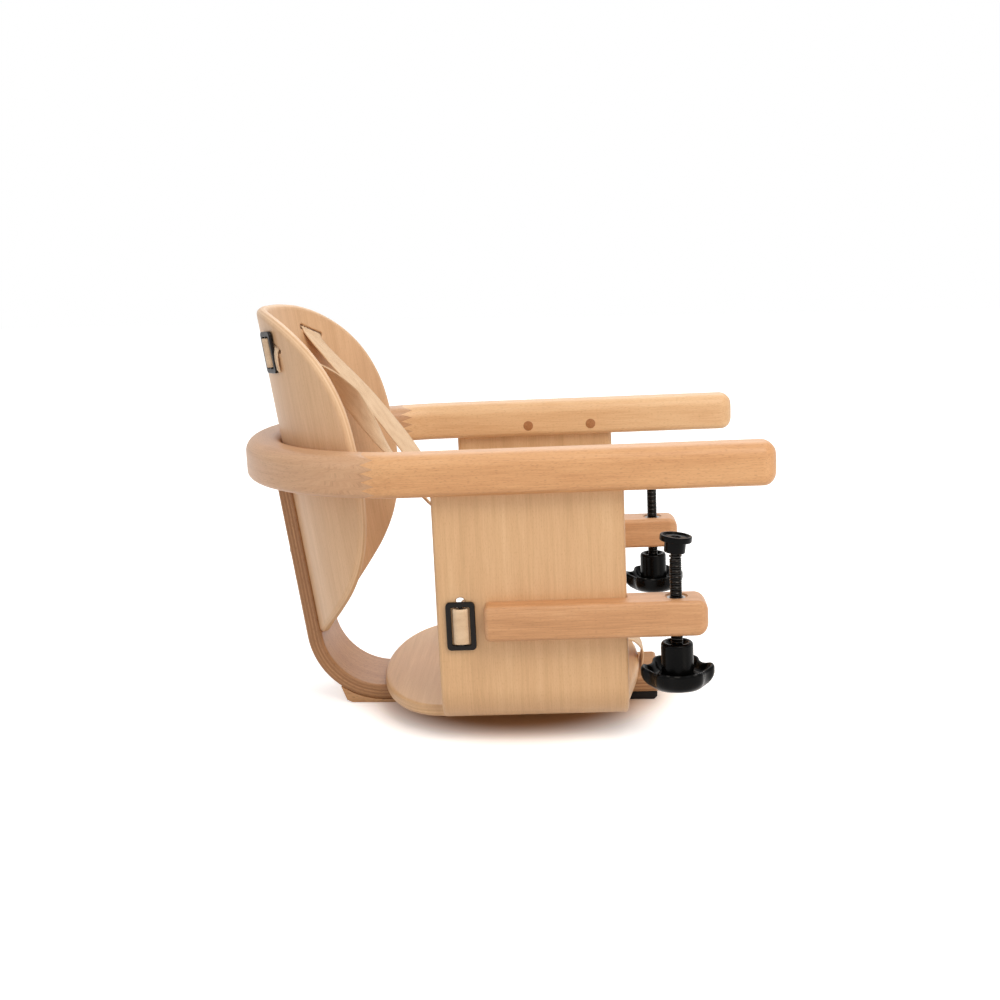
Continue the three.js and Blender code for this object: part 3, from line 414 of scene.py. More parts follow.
# Solid beech, planed and sanded under satin lacquer: orange-tan, with short dark flecks along the grain.
BEECH = WoodFinish("Beech_sanded_satin_lacquer", Slot.BEECH, "#e3b280", "#d7a270", "#c48c5b", "#98653a", 0.3)
# A paler copy of the same beech for the far (left) arm, whose inner face is lit: painted light.
LIT_BEECH = WoodFinish("Beech_pale_satin_lacquer", Slot.BEECH, "#edc697", "#e4b98a", "#d5a474", "#ab7a4c",
                       0.25, shift=19.0)
CLAMP_BEECH = WoodFinish("Beech_clamp_satin_lacquer", Slot.BEECH, "#dbaa7d", "#ca9567", "#b38053", "#8f6340",
                         0.22, shift=29.0)
# Bent beech for the back rail is paler and pinker, its grain following the bend.
BENT = WoodFinish("Beech_steam_bent_satin_lacquer", Slot.BENT_BEECH, "#d5ab84", "#c89b75", "#b48660",
                  "#916745", 0.25, streak_width=12.0, shift=7.0)
# Moulded beech plywood: a calm pale face veneer, and brown and pale veneers in turn at its rounded edges.
PLY = WoodFinish("Beech_plywood_moulded_lacquered", Slot.PLY, "#e0b98c", "#d7ad80", "#caa074", "#b98a5c", 0.3,
                 fleck_length=2.6, fleck_width=0.5, streak_width=5.0, layer=10 / 7, thickness=10.0,
                 layer_and_highlight="#b98d62", shift=3.0, layer_share=0.5)
# The backrest has the same veneer, its faces a touch greyer and darker as painted shade; its rim is sanded
# round, and its paler colour there, paler than its faces, is a painted highlight along the rim.
BACK_PLY_PAINTED_LIGHT = WoodFinish("Beech_plywood_backrest_lacquered", Slot.PLY, "#dfb78f", "#d4ab82", "#c79d74",
                      "#b48b61", 0.25, fleck_length=2.6, fleck_width=0.5, streak_width=6.0, layer=10 / 7,
                      thickness=10.0, layer_and_highlight="#f0cfa8", shift=23.0, layer_share=0.55)
# The spine is the same wood laminated thicker; its sawn edges are darker and show every lamination.
STRIP = WoodFinish("Beech_strip_laminated_lacquered", Slot.STRIP, "#c99a6b", "#bb8a5c", "#a9774a", "#7d512b",
                   0.45, layer=1.5, thickness=13.5, layer_and_highlight="#8d5d36", shift=11.0)
# Dowels show end grain, darker because it drinks the lacquer.
PLUG = WoodFinish("Beech_end_grain_plug", Slot.PLUG, "#b47c4c", "#a96f40", "#935d33", "#6f4424", 0.5,
                  fleck_length=0.5, fleck_width=0.5, streak_width=3.0, shift=5.0)
# Moulded nylon for knobs and swivel pads: near black, with a soft gloss.
KNOB_PLASTIC = PlasticFinish("Nylon_moulded_black", Slot.PLASTIC, "#030303", 0.22, worn="#090808",
                             specular=0.08)
# Moulded acetal for adjusters and the buckle: a warmer black that light catches at its edges.
GLIDE_PLASTIC = PlasticFinish("Acetal_moulded_black", Slot.PLASTIC, "#120d0b", 0.34, worn="#1d1613",
                              specular=0.18)
# Moulded rubber under the foot: matt, with a coarser skin.
FOOT_RUBBER = PlasticFinish("Rubber_moulded_black", Slot.RUBBER, "#171413", 0.62, grain=0.8, bump=0.3)
# Blackened steel of the clamp screws: dark, with sharp glints on the thread's crests.
BLACK_STEEL = PlasticFinish("Steel_blackened_threaded", Slot.BLACK_STEEL, "#262524", 0.24, metallic=0.95,
                            grain=0.3, bump=0.05, worn="#3a3836")
# Zinc-plated steel of the wood screws and inserts: pale grey and bright.
STEEL = MetalFinish("Steel_zinc_plated", Slot.STEEL)
# Unbleached cotton webbing: cream, matt, with a light fuzz.
WEBBING = WebbingFinish("Cotton_webbing_woven", Slot.WEBBING)
# Cotton thread in the webbing's own colour, without gloss.
STITCH = PlasticFinish("Cotton_thread_twisted", Slot.WEBBING, "#e6ccaa", 0.9, grain=0.4, bump=0.4,
                       worn="#d2b48e")


# Shapes


@dataclass
class Shape:
    """Points, faces and grain places of a piece, in the chair's millimetres."""

    points: list[Point3]
    faces: list[Face]
    grain: list[Point3] = field(default_factory=list)

    def __post_init__(self) -> None:
        """Let the grain run along the axes where nothing else is said."""
        self.grain = self.grain or list(self.points)

    def moved(self, matrix: Matrix) -> Shape:
        """Give a copy that is turned and placed, with its grain kept."""
        return Shape([tuple(matrix @ Vector(p)) for p in self.points], list(self.faces), list(self.grain))

    def mirrored(self, side: int) -> Shape:
        """Give the shape of the other hand, with other grain.

        Args:
            side: 1 keeps the sitter's left, -1 makes the right.

        Returns:
            The shape of that hand.
        """
        if side > 0:
            return self
        return Shape([(x, -y, z) for x, y, z in self.points], [face[::-1] for face in self.faces],
                     [(a + OTHER_HAND_GRAIN, b + OTHER_HAND_GRAIN / 7, c) for a, b, c in self.grain])


def grid_faces(rows: int, columns: int, start: int = 0) -> list[Face]:
    """Join closed rows of points into quads.

    Args:
        rows: Number of rows.
        columns: Points in a row.
        start: Number of the first point.

    Returns:
        The quads.
    """
    return [(start + r * columns + c, start + r * columns + (c + 1) % columns,
             start + (r + 1) * columns + (c + 1) % columns, start + (r + 1) * columns + c)
            for r in range(rows - 1) for c in range(columns)]


def circle(steps: int) -> list[Point2]:
    """Give even points on a circle of radius 1."""
    return [(math.cos(2 * math.pi * k / steps), math.sin(2 * math.pi * k / steps)) for k in range(steps)]


def tube(section: Sequence[Point2], steps: int = 48) -> Shape:
    """Turn a closed section round the z axis.

    Args:
        section: Radius and height of each point.
        steps: Points round the axis.

    Returns:
        The ring.
    """
    count = len(section)
    points = [(r * c, r * s, z) for c, s in circle(steps) for r, z in section]
    rows = [(r * count, (r + 1) % steps * count) for r in range(steps)]
    return Shape(points, [(a + c, b + c, b + (c + 1) % count, a + (c + 1) % count)
                          for a, b in rows for c in range(count)])


def loft(rows: Sequence[Sequence[Point3]], ladder: bool = False) -> Shape:
    """Skin closed sections of equal length and close both ends.

    Args:
        rows: The sections, in order.
        ladder: True to close the ends with rungs between a section's two like halves.

    Returns:
        The closed shape.
    """
    count = len(rows[0])
    faces = grid_faces(len(rows), count)
    last = (len(rows) - 1) * count
    if ladder:
        for i in range(count // 2 - 1):
            rung = (i, i + 1, count - 2 - i, count - 1 - i)
            faces += [rung[::-1], tuple(last + k for k in rung)]
    else:
        faces += [tuple(reversed(range(count))), tuple(range(last, last + count))]
    return Shape([p for row in rows for p in row], faces)


def poled(rings: Sequence[Sequence[Point3]], low: float, high: float) -> Shape:
    """Skin rings round the z axis and close them to a point at both ends.

    Args:
        rings: The rings, from the lower end to the upper one.
        low: Height of the lower point.
        high: Height of the upper point.

    Returns:
        The closed shape.
    """
    steps = len(rings[0])
    points = [(0.0, 0.0, low), *(p for ring in rings for p in ring), (0.0, 0.0, high)]
    faces = grid_faces(len(rings), steps, 1)
    last, base = len(points) - 1, 1 + (len(rings) - 1) * steps
    for k in range(steps):
        faces += [(0, 1 + (k + 1) % steps, 1 + k), (last, base + k, base + (k + 1) % steps)]
    return Shape(points, faces)


def turned(profile: Sequence[Point2], steps: int = 64) -> Shape:
    """Turn a profile, given as radius and height, that starts and ends on the z axis."""
    rings = [[(radius * c, radius * s, z) for c, s in circle(steps)] for radius, z in profile[1:-1]]
    return poled(rings, profile[0][1], profile[-1][1])


def rounded_profile(profile: Sequence[Point3], steps: int) -> list[Point2]:
    """Round the corners of a profile.

    Args:
        profile: Radius, height and corner radius of each point.
        steps: Steps on each rounded corner.

    Returns:
        The profile with arcs at its corners.
    """
    made: list[Point2] = []
    for i, (x, y, r) in enumerate(profile):
        if not r or i in (0, len(profile) - 1):
            made.append((x, y))
            continue
        here = Vector((x, y))
        before = (Vector(profile[i - 1][:2]) - here).normalized()
        after = (Vector(profile[i + 1][:2]) - here).normalized()
        half = before.angle(after) / 2
        reach = r / math.tan(half)
        centre = here + (before + after).normalized() * (r / math.sin(half))
        first, last = here + before * reach - centre, here + after * reach - centre
        turn = math.atan2(first.x * last.y - first.y * last.x, first.dot(last))
        for k in range(steps + 1):
            angle = turn * k / steps
            made.append((centre.x + first.x * math.cos(angle) - first.y * math.sin(angle),
                         centre.y + first.x * math.sin(angle) + first.y * math.cos(angle)))
    return made


def smooth_line(points: Sequence[Sequence[float]], steps: int) -> list[np.ndarray]:
    """Run a centripetal Catmull-Rom curve through points.

    Args:
        points: Points of any dimension.
        steps: Points on each stretch.

    Returns:
        Points on the curve.
    """
    held = [np.array(p, float) for p in points]
    held = [2 * held[0] - held[1], *held, 2 * held[-1] - held[-2]]
    made = []
    for p0, p1, p2, p3 in zip(held, held[1:], held[2:], held[3:]):
        t1 = max(np.linalg.norm(p1 - p0) ** 0.5, 1e-6)
        t2 = t1 + max(np.linalg.norm(p2 - p1) ** 0.5, 1e-6)
        t3 = t2 + max(np.linalg.norm(p3 - p2) ** 0.5, 1e-6)
        for k in range(steps):
            t = t1 + (t2 - t1) * k / steps
            a1 = (t1 - t) / t1 * p0 + t / t1 * p1
            a2 = (t2 - t) / (t2 - t1) * p1 + (t - t1) / (t2 - t1) * p2
            a3 = (t3 - t) / (t3 - t2) * p2 + (t - t2) / (t3 - t2) * p3
            b1 = (t2 - t) / t2 * a1 + t / t2 * a2
            b2 = (t3 - t) / (t3 - t1) * a2 + (t - t1) / (t3 - t1) * a3
            made.append((t2 - t) / (t2 - t1) * b1 + (t - t1) / (t2 - t1) * b2)
    return [*made, held[-2]]


def even_line(points: Sequence[Point2], spacing: float) -> list[Point2]:
    """Place points evenly on a closed line, keeping its corners.

    Args:
        points: The line's corners.
        spacing: Greatest distance between two points.

    Returns:
        The finer line.
    """
    made: list[Point2] = []
    for (x0, y0), (x1, y1) in zip(points, [*points[1:], points[0]]):
        count = max(1, math.ceil(math.hypot(x1 - x0, y1 - y0) / spacing))
        made += [(x0 + (x1 - x0) * k / count, y0 + (y1 - y0) * k / count) for k in range(count)]
    return made


def soft_rectangle(u0: float, v0: float, u1: float, v1: float, radius: float, steps: int) -> list[Point2]:
    """Outline a rectangle with rounded corners, anticlockwise.

    Args:
        u0: Its left side.
        v0: Its lower side.
        u1: Its right side.
        v1: Its upper side.
        radius: Radius of its corners.
        steps: Steps on each corner.

    Returns:
        The outline.
    """
    corners = ((u1 - radius, v0 + radius, -90), (u1 - radius, v1 - radius, 0),
               (u0 + radius, v1 - radius, 90), (u0 + radius, v0 + radius, 180))
    return [(u + radius * math.cos(math.radians(start + 90 * k / steps)),
             v + radius * math.sin(math.radians(start + 90 * k / steps)))
            for u, v, start in corners for k in range(steps + 1)]


@dataclass
class Sheet:
    """A flat board with rounded edges and holes, bent into its place.

    Its outline runs anticlockwise and its holes too. The bend maps a place on the flat board and a height
    from its middle to a point of the chair. A strip of the width "hold" next to each rim stays flat.
    """

    outline: list[Point2]
    thickness: float
    edge: float
    bend: Callable[[float, float, float], Point3]
    holes: list[list[Point2]]
    u_lines: Sequence[float]
    v_lines: Sequence[float]
    turn_grain: bool = False
    hole_edge: float = 0.0
    edge_steps: int = 5
    hold: float = 0.7

    @staticmethod
    def inset(line: Sequence[Point2], distance: float, inward: float) -> list[Point2]:
        """Shift a closed line sideways.

        Args:
            line: The line, anticlockwise.
            distance: How far.
            inward: 1 towards its inside, -1 away from it.

        Returns:
            The shifted line.
        """
        pts = np.array(line)
        before, after = pts - np.roll(pts, 1, 0), np.roll(pts, -1, 0) - pts
        before /= np.linalg.norm(before, axis=1)[:, None]
        after /= np.linalg.norm(after, axis=1)[:, None]
        normal = np.stack([-(before + after)[:, 1], (before + after)[:, 0]], 1)
        normal /= np.linalg.norm(normal, axis=1)[:, None]
        cosine = np.clip((normal * np.stack([-before[:, 1], before[:, 0]], 1)).sum(1), 0.5, 1)
        return [tuple(p) for p in pts + normal * (inward * distance / cosine)[:, None]]

    @staticmethod
    def clear_of(points: np.ndarray, line: Sequence[Point2], inward: float, margin: float) -> np.ndarray:
        """Tell which points lie on the board's side of a closed line, well away from it.

        Args:
            points: The points to test.
            line: The closed line.
            inward: 1 if the board is inside the line, -1 if it is outside.
            margin: Least distance from the line.

        Returns:
            True for each point that is kept.
        """
        a = np.array(line)
        b = np.roll(a, -1, 0)
        x, y = points[:, 0][:, None], points[:, 1][:, None]
        crossing = (a[:, 1] > y) != (b[:, 1] > y)
        with np.errstate(divide="ignore", invalid="ignore"):
            at = (b[:, 0] - a[:, 0]) * (y - a[:, 1]) / (b[:, 1] - a[:, 1]) + a[:, 0]
        inside = (crossing & (x < at)).sum(1) % 2 == 1
        span = b - a
        t = ((points[:, None] - a) * span).sum(2) / np.maximum((span * span).sum(1), 1e-9)
        distance = np.linalg.norm(points[:, None] - a - span * np.clip(t, 0, 1)[..., None], axis=2).min(1)
        return (inside if inward > 0 else ~inside) & (distance > margin)

    def rim_profile(self, r: float) -> list[Point2]:
        """Draw the rounding of a rim.

        Args:
            r: Its radius.

        Returns:
            Distance inwards and height of each point, from the upper face to the lower.
        """
        half = self.thickness / 2
        angles = [math.pi / 2 * k / self.edge_steps for k in range(self.edge_steps + 1)]
        profile = [(r + self.hold, half)]
        profile += [(r - r * math.sin(a), half - r + r * math.cos(a)) for a in angles]
        wall = max(1, round((self.thickness - 2 * r) / 2))
        low = [(d, -h) for d, h in reversed(profile)]
        return profile + [(0.0, (half - r) * (1 - 2 * k / wall)) for k in range(1, wall)] + low

    def shape(self) -> Shape:
        """Build the bent board: first its rims, then its two faces, filled from one triangulation.

        Returns:
            Its closed shape.
        """
        half = self.thickness / 2
        flat: list[Point3] = []
        faces: list[Face] = []
        corners: list[tuple[int, int]] = []
        coords: list[Vector] = []
        loops: list[tuple[int, int]] = []
        rims: list[tuple[list[Point2], float]] = []
        for line, inward in [(self.outline, 1.0), *((hole, -1.0) for hole in self.holes)]:
            start, count, first = len(flat), len(line), len(coords)
            r = self.edge if inward > 0 else self.hole_edge
            profile = self.rim_profile(r)
            for distance, height in profile:
                flat += [(u, v, height) for u, v in self.inset(line, distance, inward)]
            quads = grid_faces(len(profile), count, start)
            faces += [quad[::-1] for quad in quads] if inward > 0 else quads
            rim = self.inset(line, r + self.hold, inward)
            rims.append((rim, inward))
            coords += [Vector(place) for place in rim]
            corners += [(start + k, start + (len(profile) - 1) * count + k) for k in range(count)]
            loops += [(first + k, first + (k + 1) % count) for k in range(count)]

        def solid(points: np.ndarray, margin: float) -> np.ndarray:
            """Tell which points lie on the board, clear of every rim."""
            return np.all([self.clear_of(points, rim, inward, margin) for rim, inward in rims], 0)

        grid = np.array([(u, v) for u in self.u_lines for v in self.v_lines])
        margin = 0.35 * min(np.diff(sorted(self.u_lines)).min(), np.diff(sorted(self.v_lines)).min())
        inner = [Vector(place) for place in grid[solid(grid, max(margin, 0.5))]]
        made, _, triangles, origins, _, _ = delaunay_2d_cdt(coords + inner, loops, [], 1, 1e-5)
        ends: list[tuple[int, int]] = []
        for place, origin in zip(made, origins):
            ring = [o for o in origin if o < len(coords)]
            ends.append(corners[ring[0]] if ring else (len(flat), len(flat) + 1))
            if not ring:
                flat += [(place.x, place.y, half), (place.x, place.y, -half)]
        middles = np.array([sum((made[i] for i in t), Vector((0.0, 0.0))) / 3 for t in triangles])
        for (a, b, c), kept in zip(triangles, solid(middles, 0.0)):
            if kept:
                faces += [(ends[a][0], ends[b][0], ends[c][0]), (ends[c][1], ends[b][1], ends[a][1])]
        grain = [(v, u, h) if self.turn_grain else (u, v, h) for u, v, h in flat]
        return Shape([self.bend(*p) for p in flat], faces, grain)


@dataclass
class Ribbon:
    """A flat strap that runs through points, with its width turned the way each point says."""

    path: Sequence[Point3]
    across: Sequence[Point3]
    width: float
    thickness: float = 1.5
    steps: int = 10
    spread: tuple[float, ...] = (-1.0, -0.82, -0.5, -0.18, 0.18, 0.5, 0.82, 1.0)

    def centre(self) -> tuple[list[Vector], list[Vector], list[Vector]]:
        """Give the strap's middle line with its directions.

        Returns:
            Places, width directions and face directions.
        """
        line = [Vector(p) for p in smooth_line(self.path, self.steps)]
        side = [Vector(p).normalized() for p in smooth_line(self.across, self.steps)]
        last = len(line) - 1
        runs = [(line[min(i + 1, last)] - line[max(i - 1, 0)]).normalized() for i in range(last + 1)]
        return line, side, [along.cross(wide).normalized() for along, wide in zip(runs, side)]

    def shape(self) -> Shape:
        """Build the strap.

        Returns:
            Its closed shape, whose grain holds the distance along, across and through it.
        """
        half, thick = self.width / 2, self.thickness / 2
        section = [((half - 0.5) * s, thick) for s in self.spread]
        section += [(half, thick * 0.4), (half, -thick * 0.4)]
        section += [(-a, -b) for a, b in section]
        rows, grain, walked, last = [], [], 0.0, None
        for place, wide, face in zip(*self.centre()):
            walked += (place - last).length if last else 0.0
            last = place
            rows.append([tuple(place + wide * a + face * b) for a, b in section])
            grain += [(walked, a, b) for a, b in section]
        shape = loft(rows)
        return Shape(shape.points, shape.faces, grain)


# Pieces in Blender


def add_object(name: str, data: bpy.types.ID) -> bpy.types.Object:
    """Put a mesh, lamp or camera into the scene.

    Args:
        name: The object's name.
        data: What it shows.

    Returns:
        The new object.
    """
    made = bpy.data.objects.new(name, data)
    bpy.context.scene.collection.objects.link(made)
    return made


def write_vectors(mesh: bpy.types.Mesh, name: str, vectors: Sequence[Sequence[float]]) -> None:
    """Write one vector for each point of a mesh.

    Args:
        mesh: The mesh.
        name: The attribute's name; one that is there already is replaced.
        vectors: The vectors, in the points' order.
    """
    if name in mesh.attributes:
        mesh.attributes.remove(mesh.attributes[name])
    attribute = mesh.attributes.new(name, "FLOAT_VECTOR", "POINT")
    attribute.data.foreach_set("vector", np.array(vectors, np.float32).ravel())


def made_mesh(piece: bpy.types.Object) -> bpy.types.Mesh:
    """Give the plain mesh that an object's modifiers make."""
    bpy.context.view_layer.update()
    return bpy.data.meshes.new_from_object(piece.evaluated_get(bpy.context.evaluated_depsgraph_get()))


def solid_object(name: str, shape: Shape) -> bpy.types.Object:
    """Put a closed shape into the row frame, with its faces turned outwards.

    Args:
        name: The object's name.
        shape: The shape, in the chair's millimetres.

    Returns:
        The new object.
    """
    mesh = bpy.data.meshes.new(name)
    mesh.from_pydata([CHAIR @ Vector(p) for p in shape.points], [], shape.faces)
    mesh.validate()
    write_vectors(mesh, GRAIN, shape.grain)
    work = bmesh.new()
    work.from_mesh(mesh)
    bmesh.ops.recalc_face_normals(work, faces=work.faces)
    work.to_mesh(mesh)
    work.free()
    return add_object(name, mesh)


def finish_piece(piece: bpy.types.Object, finish: Finish, replaces: str = "", body: str = "frame",
                 sharp: float = 35.0) -> None:
    """Dress a piece and tie it to its body.

    Args:
        piece: The piece's object.
        finish: Its finish.
        replaces: CAD node that it stands for, if any.
        body: The body it rides on.
        sharp: Angle in degrees past which an edge stays sharp.
    """
    piece.data.materials.clear()
    piece.data.materials.append(finish.material())
    piece.data.shade_smooth()
    piece.data.set_sharp_from_angle(angle=math.radians(sharp))
    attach(piece, body)
    if replaces:
        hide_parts(replaces)
    LOG.info("%s: %d faces", piece.name, len(piece.data.polygons))


@dataclass
class Piece:
    """One visible piece: its shape, finish and place in the model."""

    name: str
    shape: Shape
    finish: Finish
    replaces: str = ""
    body: str = "frame"
    sharp: float = 35.0
    slot: Slot | None = None
    cutters: Sequence[Shape] = ()
    regrain: Callable[[Point3], Point3] | None = None

    def build(self) -> None:
        """Make the object, cut it, lay its grain again where a cut added points, and dress it."""
        piece = solid_object(self.name, self.shape)
        for cutter in self.cutters:
            self.cut(piece, cutter)
        if self.regrain:
            back = CHAIR.inverted()
            write_vectors(piece.data, GRAIN, [self.regrain(tuple(back @ v.co)) for v in piece.data.vertices])
        finish_piece(piece, self.finish, self.replaces, self.body, self.sharp)

    def cut(self, piece: bpy.types.Object, cutter: Shape) -> None:
        """Cut one shape out of the piece.

        Args:
            piece: The piece's object.
            cutter: The shape that goes.
        """
        tool = solid_object(f"{self.name}_tool", cutter)
        modifier = piece.modifiers.new("cut", "BOOLEAN")
        modifier.operation = "DIFFERENCE"
        modifier.solver = "EXACT"
        modifier.object = tool
        mesh = made_mesh(piece)
        piece.modifiers.clear()
        old, piece.data = piece.data, mesh
        bpy.data.meshes.remove(old)
        bpy.data.objects.remove(tool)


def soften(node: str, width: float, finish: Finish, body: str = "frame") -> None:
    """Make a copy of a CAD node with its edges rounded, which stands for the node.

    Args:
        node: The CAD node.
        width: Width of the rounding, in millimetres.
        finish: Its finish.
        body: The body it rides on.
    """
    work = bmesh.new()
    work.from_mesh(bpy.data.objects[node].data)
    bmesh.ops.remove_doubles(work, verts=work.verts, dist=1e-6)
    bmesh.ops.dissolve_limit(work, angle_limit=math.radians(1), verts=work.verts, edges=work.edges)
    edges = [e for e in work.edges if len(e.link_faces) == 2 and e.calc_face_angle(0) > SOFT_FROM]
    bmesh.ops.bevel(work, geom=edges, offset=width * MM, segments=3, affect="EDGES", profile=0.5,
                    clamp_overlap=True)
    bmesh.ops.triangulate(work, faces=[f for f in work.faces if len(f.verts) > 4])
    mesh = bpy.data.meshes.new(node + "_soft")
    work.to_mesh(mesh)
    work.free()
    back = CHAIR.inverted()
    write_vectors(mesh, GRAIN, [back @ v.co for v in mesh.vertices])
    finish_piece(add_object(mesh.name, mesh), finish, node, body)


# Sub-assemblies


@dataclass
class Rail:
    """A bent back rail with two straight arms, joined by saw-toothed finger joints."""

    inner: float = 135.3
    width: float = 34.0
    height: float = 35.0
    top_radius: float = 12.0
    bottom_radius: float = 6.0
    centre_x: float = -168.0
    front_x: float = 121.5
    end_radius: float = 11.0
    plan_radius: float = 14.0
    joint_x: float = -212.0
    finger: float = 11.0
    fingers: int = 5
    joint_gap: float = 0.22
    runout: float = 0.5
    rise: float = 0.45
    arm_grain_shift: float = 700.0
    arm_grain_lift: float = 40.0
    drum_play: float = 0.45
    drum_ends: Point2 = (-60.0, 80.0)
    plug_radius: float = 5.0
    plug_edge: float = 0.35
    plug_proud: float = 0.15
    plug_end: float = 160.0
    plug_z: float = 10.9
    plug_places: tuple[tuple[str, float], ...] = (("rear", -84.0), ("front", -21.0))

    @property
    def middle(self) -> float:
        """Radius of the rail's middle line."""
        return self.inner + self.width / 2

    def section(self) -> list[Point2]:
        """Outline the rail, with points at the height of every finger's tip and root.

        Returns:
            Distance from the middle line and height of each point, anticlockwise.
        """
        low, high, half = self.bottom_radius, self.top_radius, self.width / 2
        turns = [math.radians(degrees) for degrees in range(0, 90, 15)]
        sides = [(low * (1 - math.cos(a)), low * (1 - math.sin(a))) for a in turns]
        turns = [math.radians(degrees) for degrees in range(0, 90, 10)]
        sides += [(self.height - high * (1 - math.cos(a)), high * (1 - math.sin(a))) for a in turns]
        for k in range(1, 2 * self.fingers):
            z = k * (self.height / self.fingers / 2)
            under, over = max(low - z, 0.0), max(z - self.height + high, 0.0)
            sides.append((z, low - math.sqrt(low**2 - under**2) + high - math.sqrt(high**2 - over**2)))
        sides.sort()
        inner = [(-half + inset, z) for z, inset in reversed(sides)]
        return [(half - inset, z) for z, inset in sides] + inner

    def ring_place(self, across: float, z: float, angle: float) -> Point3:
        """Place a point by its distance from the bend's middle line, its height and its angle from behind."""
        radius = self.middle + across
        return (self.centre_x - radius * math.cos(angle), radius * math.sin(angle), z)

    def joint_angle(self, across: float, z: float, shift: float) -> float:
        """Find where the joint's saw-toothed line crosses one line of the rail.

        Args:
            across: The line's distance from the middle line.
            z: Its height.
            shift: Distance by which the joint's line is moved forward.

        Returns:
            The angle from straight back.
        """
        share = (z / (self.height / self.fingers)) % 1.0
        tooth = self.joint_x + self.finger * (1 - abs(2 * share - 1))
        return math.acos((self.centre_x - tooth - shift) / (self.middle + across))

    def grain(self, point: Point3) -> Point3:
        """Lay the back rail's grain along its bend; near a joint the grain runs out of the top.

        Args:
            point: A point of the rail.

        Returns:
            Its place along, across and up the grain.
        """
        x, y, z = point
        if x > self.centre_x:
            along = math.copysign(self.middle * math.pi / 2 + x - self.centre_x, y)
            return (along + math.copysign(self.arm_grain_shift, y), abs(y) - self.middle, z)
        radius, angle = math.hypot(x - self.centre_x, y), math.atan2(y, self.centre_x - x)
        near_joint = max(abs(angle) - self.joint_angle(0.0, z, 0.0) + self.runout, 0.0)
        rise = self.rise * self.middle * near_joint**2 / (2 * self.runout)
        return (self.middle * angle, radius - self.middle, z - rise)

    def arm_grain(self, point: Point3) -> Point3:
        """Lay an arm's grain straight, so that the bend's end cuts across it."""
        x, y, z = point
        return (x + math.copysign(self.arm_grain_shift, y), y, z + self.arm_grain_lift)

    def back(self, steps: int = 72) -> Shape:
        """Build the bent back rail in a number of steps, from joint to joint."""
        rows = [[self.ring_place(a, z, (2 * k / steps - 1) * self.joint_angle(a, z, -self.joint_gap / 2))
                 for a, z in self.section()] for k in range(steps + 1)]
        return loft(rows, ladder=True)

    def arm(self, bend: int = 12, straight: int = 16, nose: int = 12) -> Shape:
        """Build the left arm, from its fingers to its rounded front.

        Args:
            bend: Steps on the bend.
            straight: Steps on the straight.
            nose: Steps on the rounded front.

        Returns:
            The arm's shape.
        """
        section, rows = self.section(), []
        for k in range(bend):
            firsts = [self.joint_angle(a, z, self.joint_gap / 2) for a, z in section]
            rows.append([self.ring_place(a, z, first + (math.pi / 2 - first) * k / bend)
                         for (a, z), first in zip(section, firsts)])
        start, stop = self.centre_x, self.front_x - self.plan_radius
        for k in range(straight):
            rows.append([(start + (stop - start) * k / straight, self.middle + a, z) for a, z in section])
        for k in range(nose + 1):
            angle = math.pi / 2 * k / nose
            setback = self.plan_radius * (1 - math.sin(angle))
            low = max(self.end_radius - setback, 0.0)
            lower = self.end_radius - math.sqrt(max(self.end_radius**2 - low**2, 0.0))
            wide = 1 - self.plan_radius * (1 - math.cos(angle)) / (self.width / 2)
            tall = 1 - lower / (self.height / 2)
            rows.append([(self.front_x - setback, self.middle + a * wide,
                          self.height / 2 + (z - self.height / 2) * tall) for a, z in section])
        return loft(rows, ladder=True)

    def plug(self, x: float, side: int) -> Shape:
        """Build the visible end of one cross dowel, with end grain.

        Args:
            x: Where the dowel lies.
            side: 1 for the left arm, -1 for the right.

        Returns:
            The plug's shape.
        """
        low, high, r = self.inner - self.plug_proud, self.plug_end, self.plug_radius
        profile = rounded_profile([(0, low, 0), (r, low, self.plug_edge), (r, high, 0), (0, high, 0)], 3)
        plug = turned(profile[::-1], 40)
        lie = Matrix.Translation((x, 0, self.plug_z)) @ Matrix.Rotation(-side * math.pi / 2, 4, "X")
        return Shape(plug.moved(lie).points, plug.faces, [(c, a, b) for a, b, c in plug.points])

    def build(self, backrest: Backrest) -> None:
        """Build the back rail, hollowed for the backrest, and both arms with their plugs.

        Args:
            backrest: The shell that the rail holds.
        """
        reach, (low, high) = backrest.radius + self.drum_play, self.drum_ends
        drum = turned([(0, low), (reach, low), (reach, high), (0, high)], 256)
        drum = drum.moved(backrest.matrix() @ Matrix.Translation((backrest.radius, 0, 0)))
        Piece("rail_bend", self.back(), BENT, "back_rail", cutters=(drum,), regrain=self.grain).build()
        for hand, side in HANDS:
            # The far (left) arm takes the paler copy of the beech, as painted light.
            Piece(f"{hand}_arm_rest", self.arm().mirrored(side), LIT_BEECH if side > 0 else BEECH,
                  f"{hand}_arm", regrain=self.arm_grain).build()
            for place, x in self.plug_places:
                Piece(f"{hand}_{place}_plug", self.plug(x, side), PLUG, f"{hand}_{place}_dowel").build()


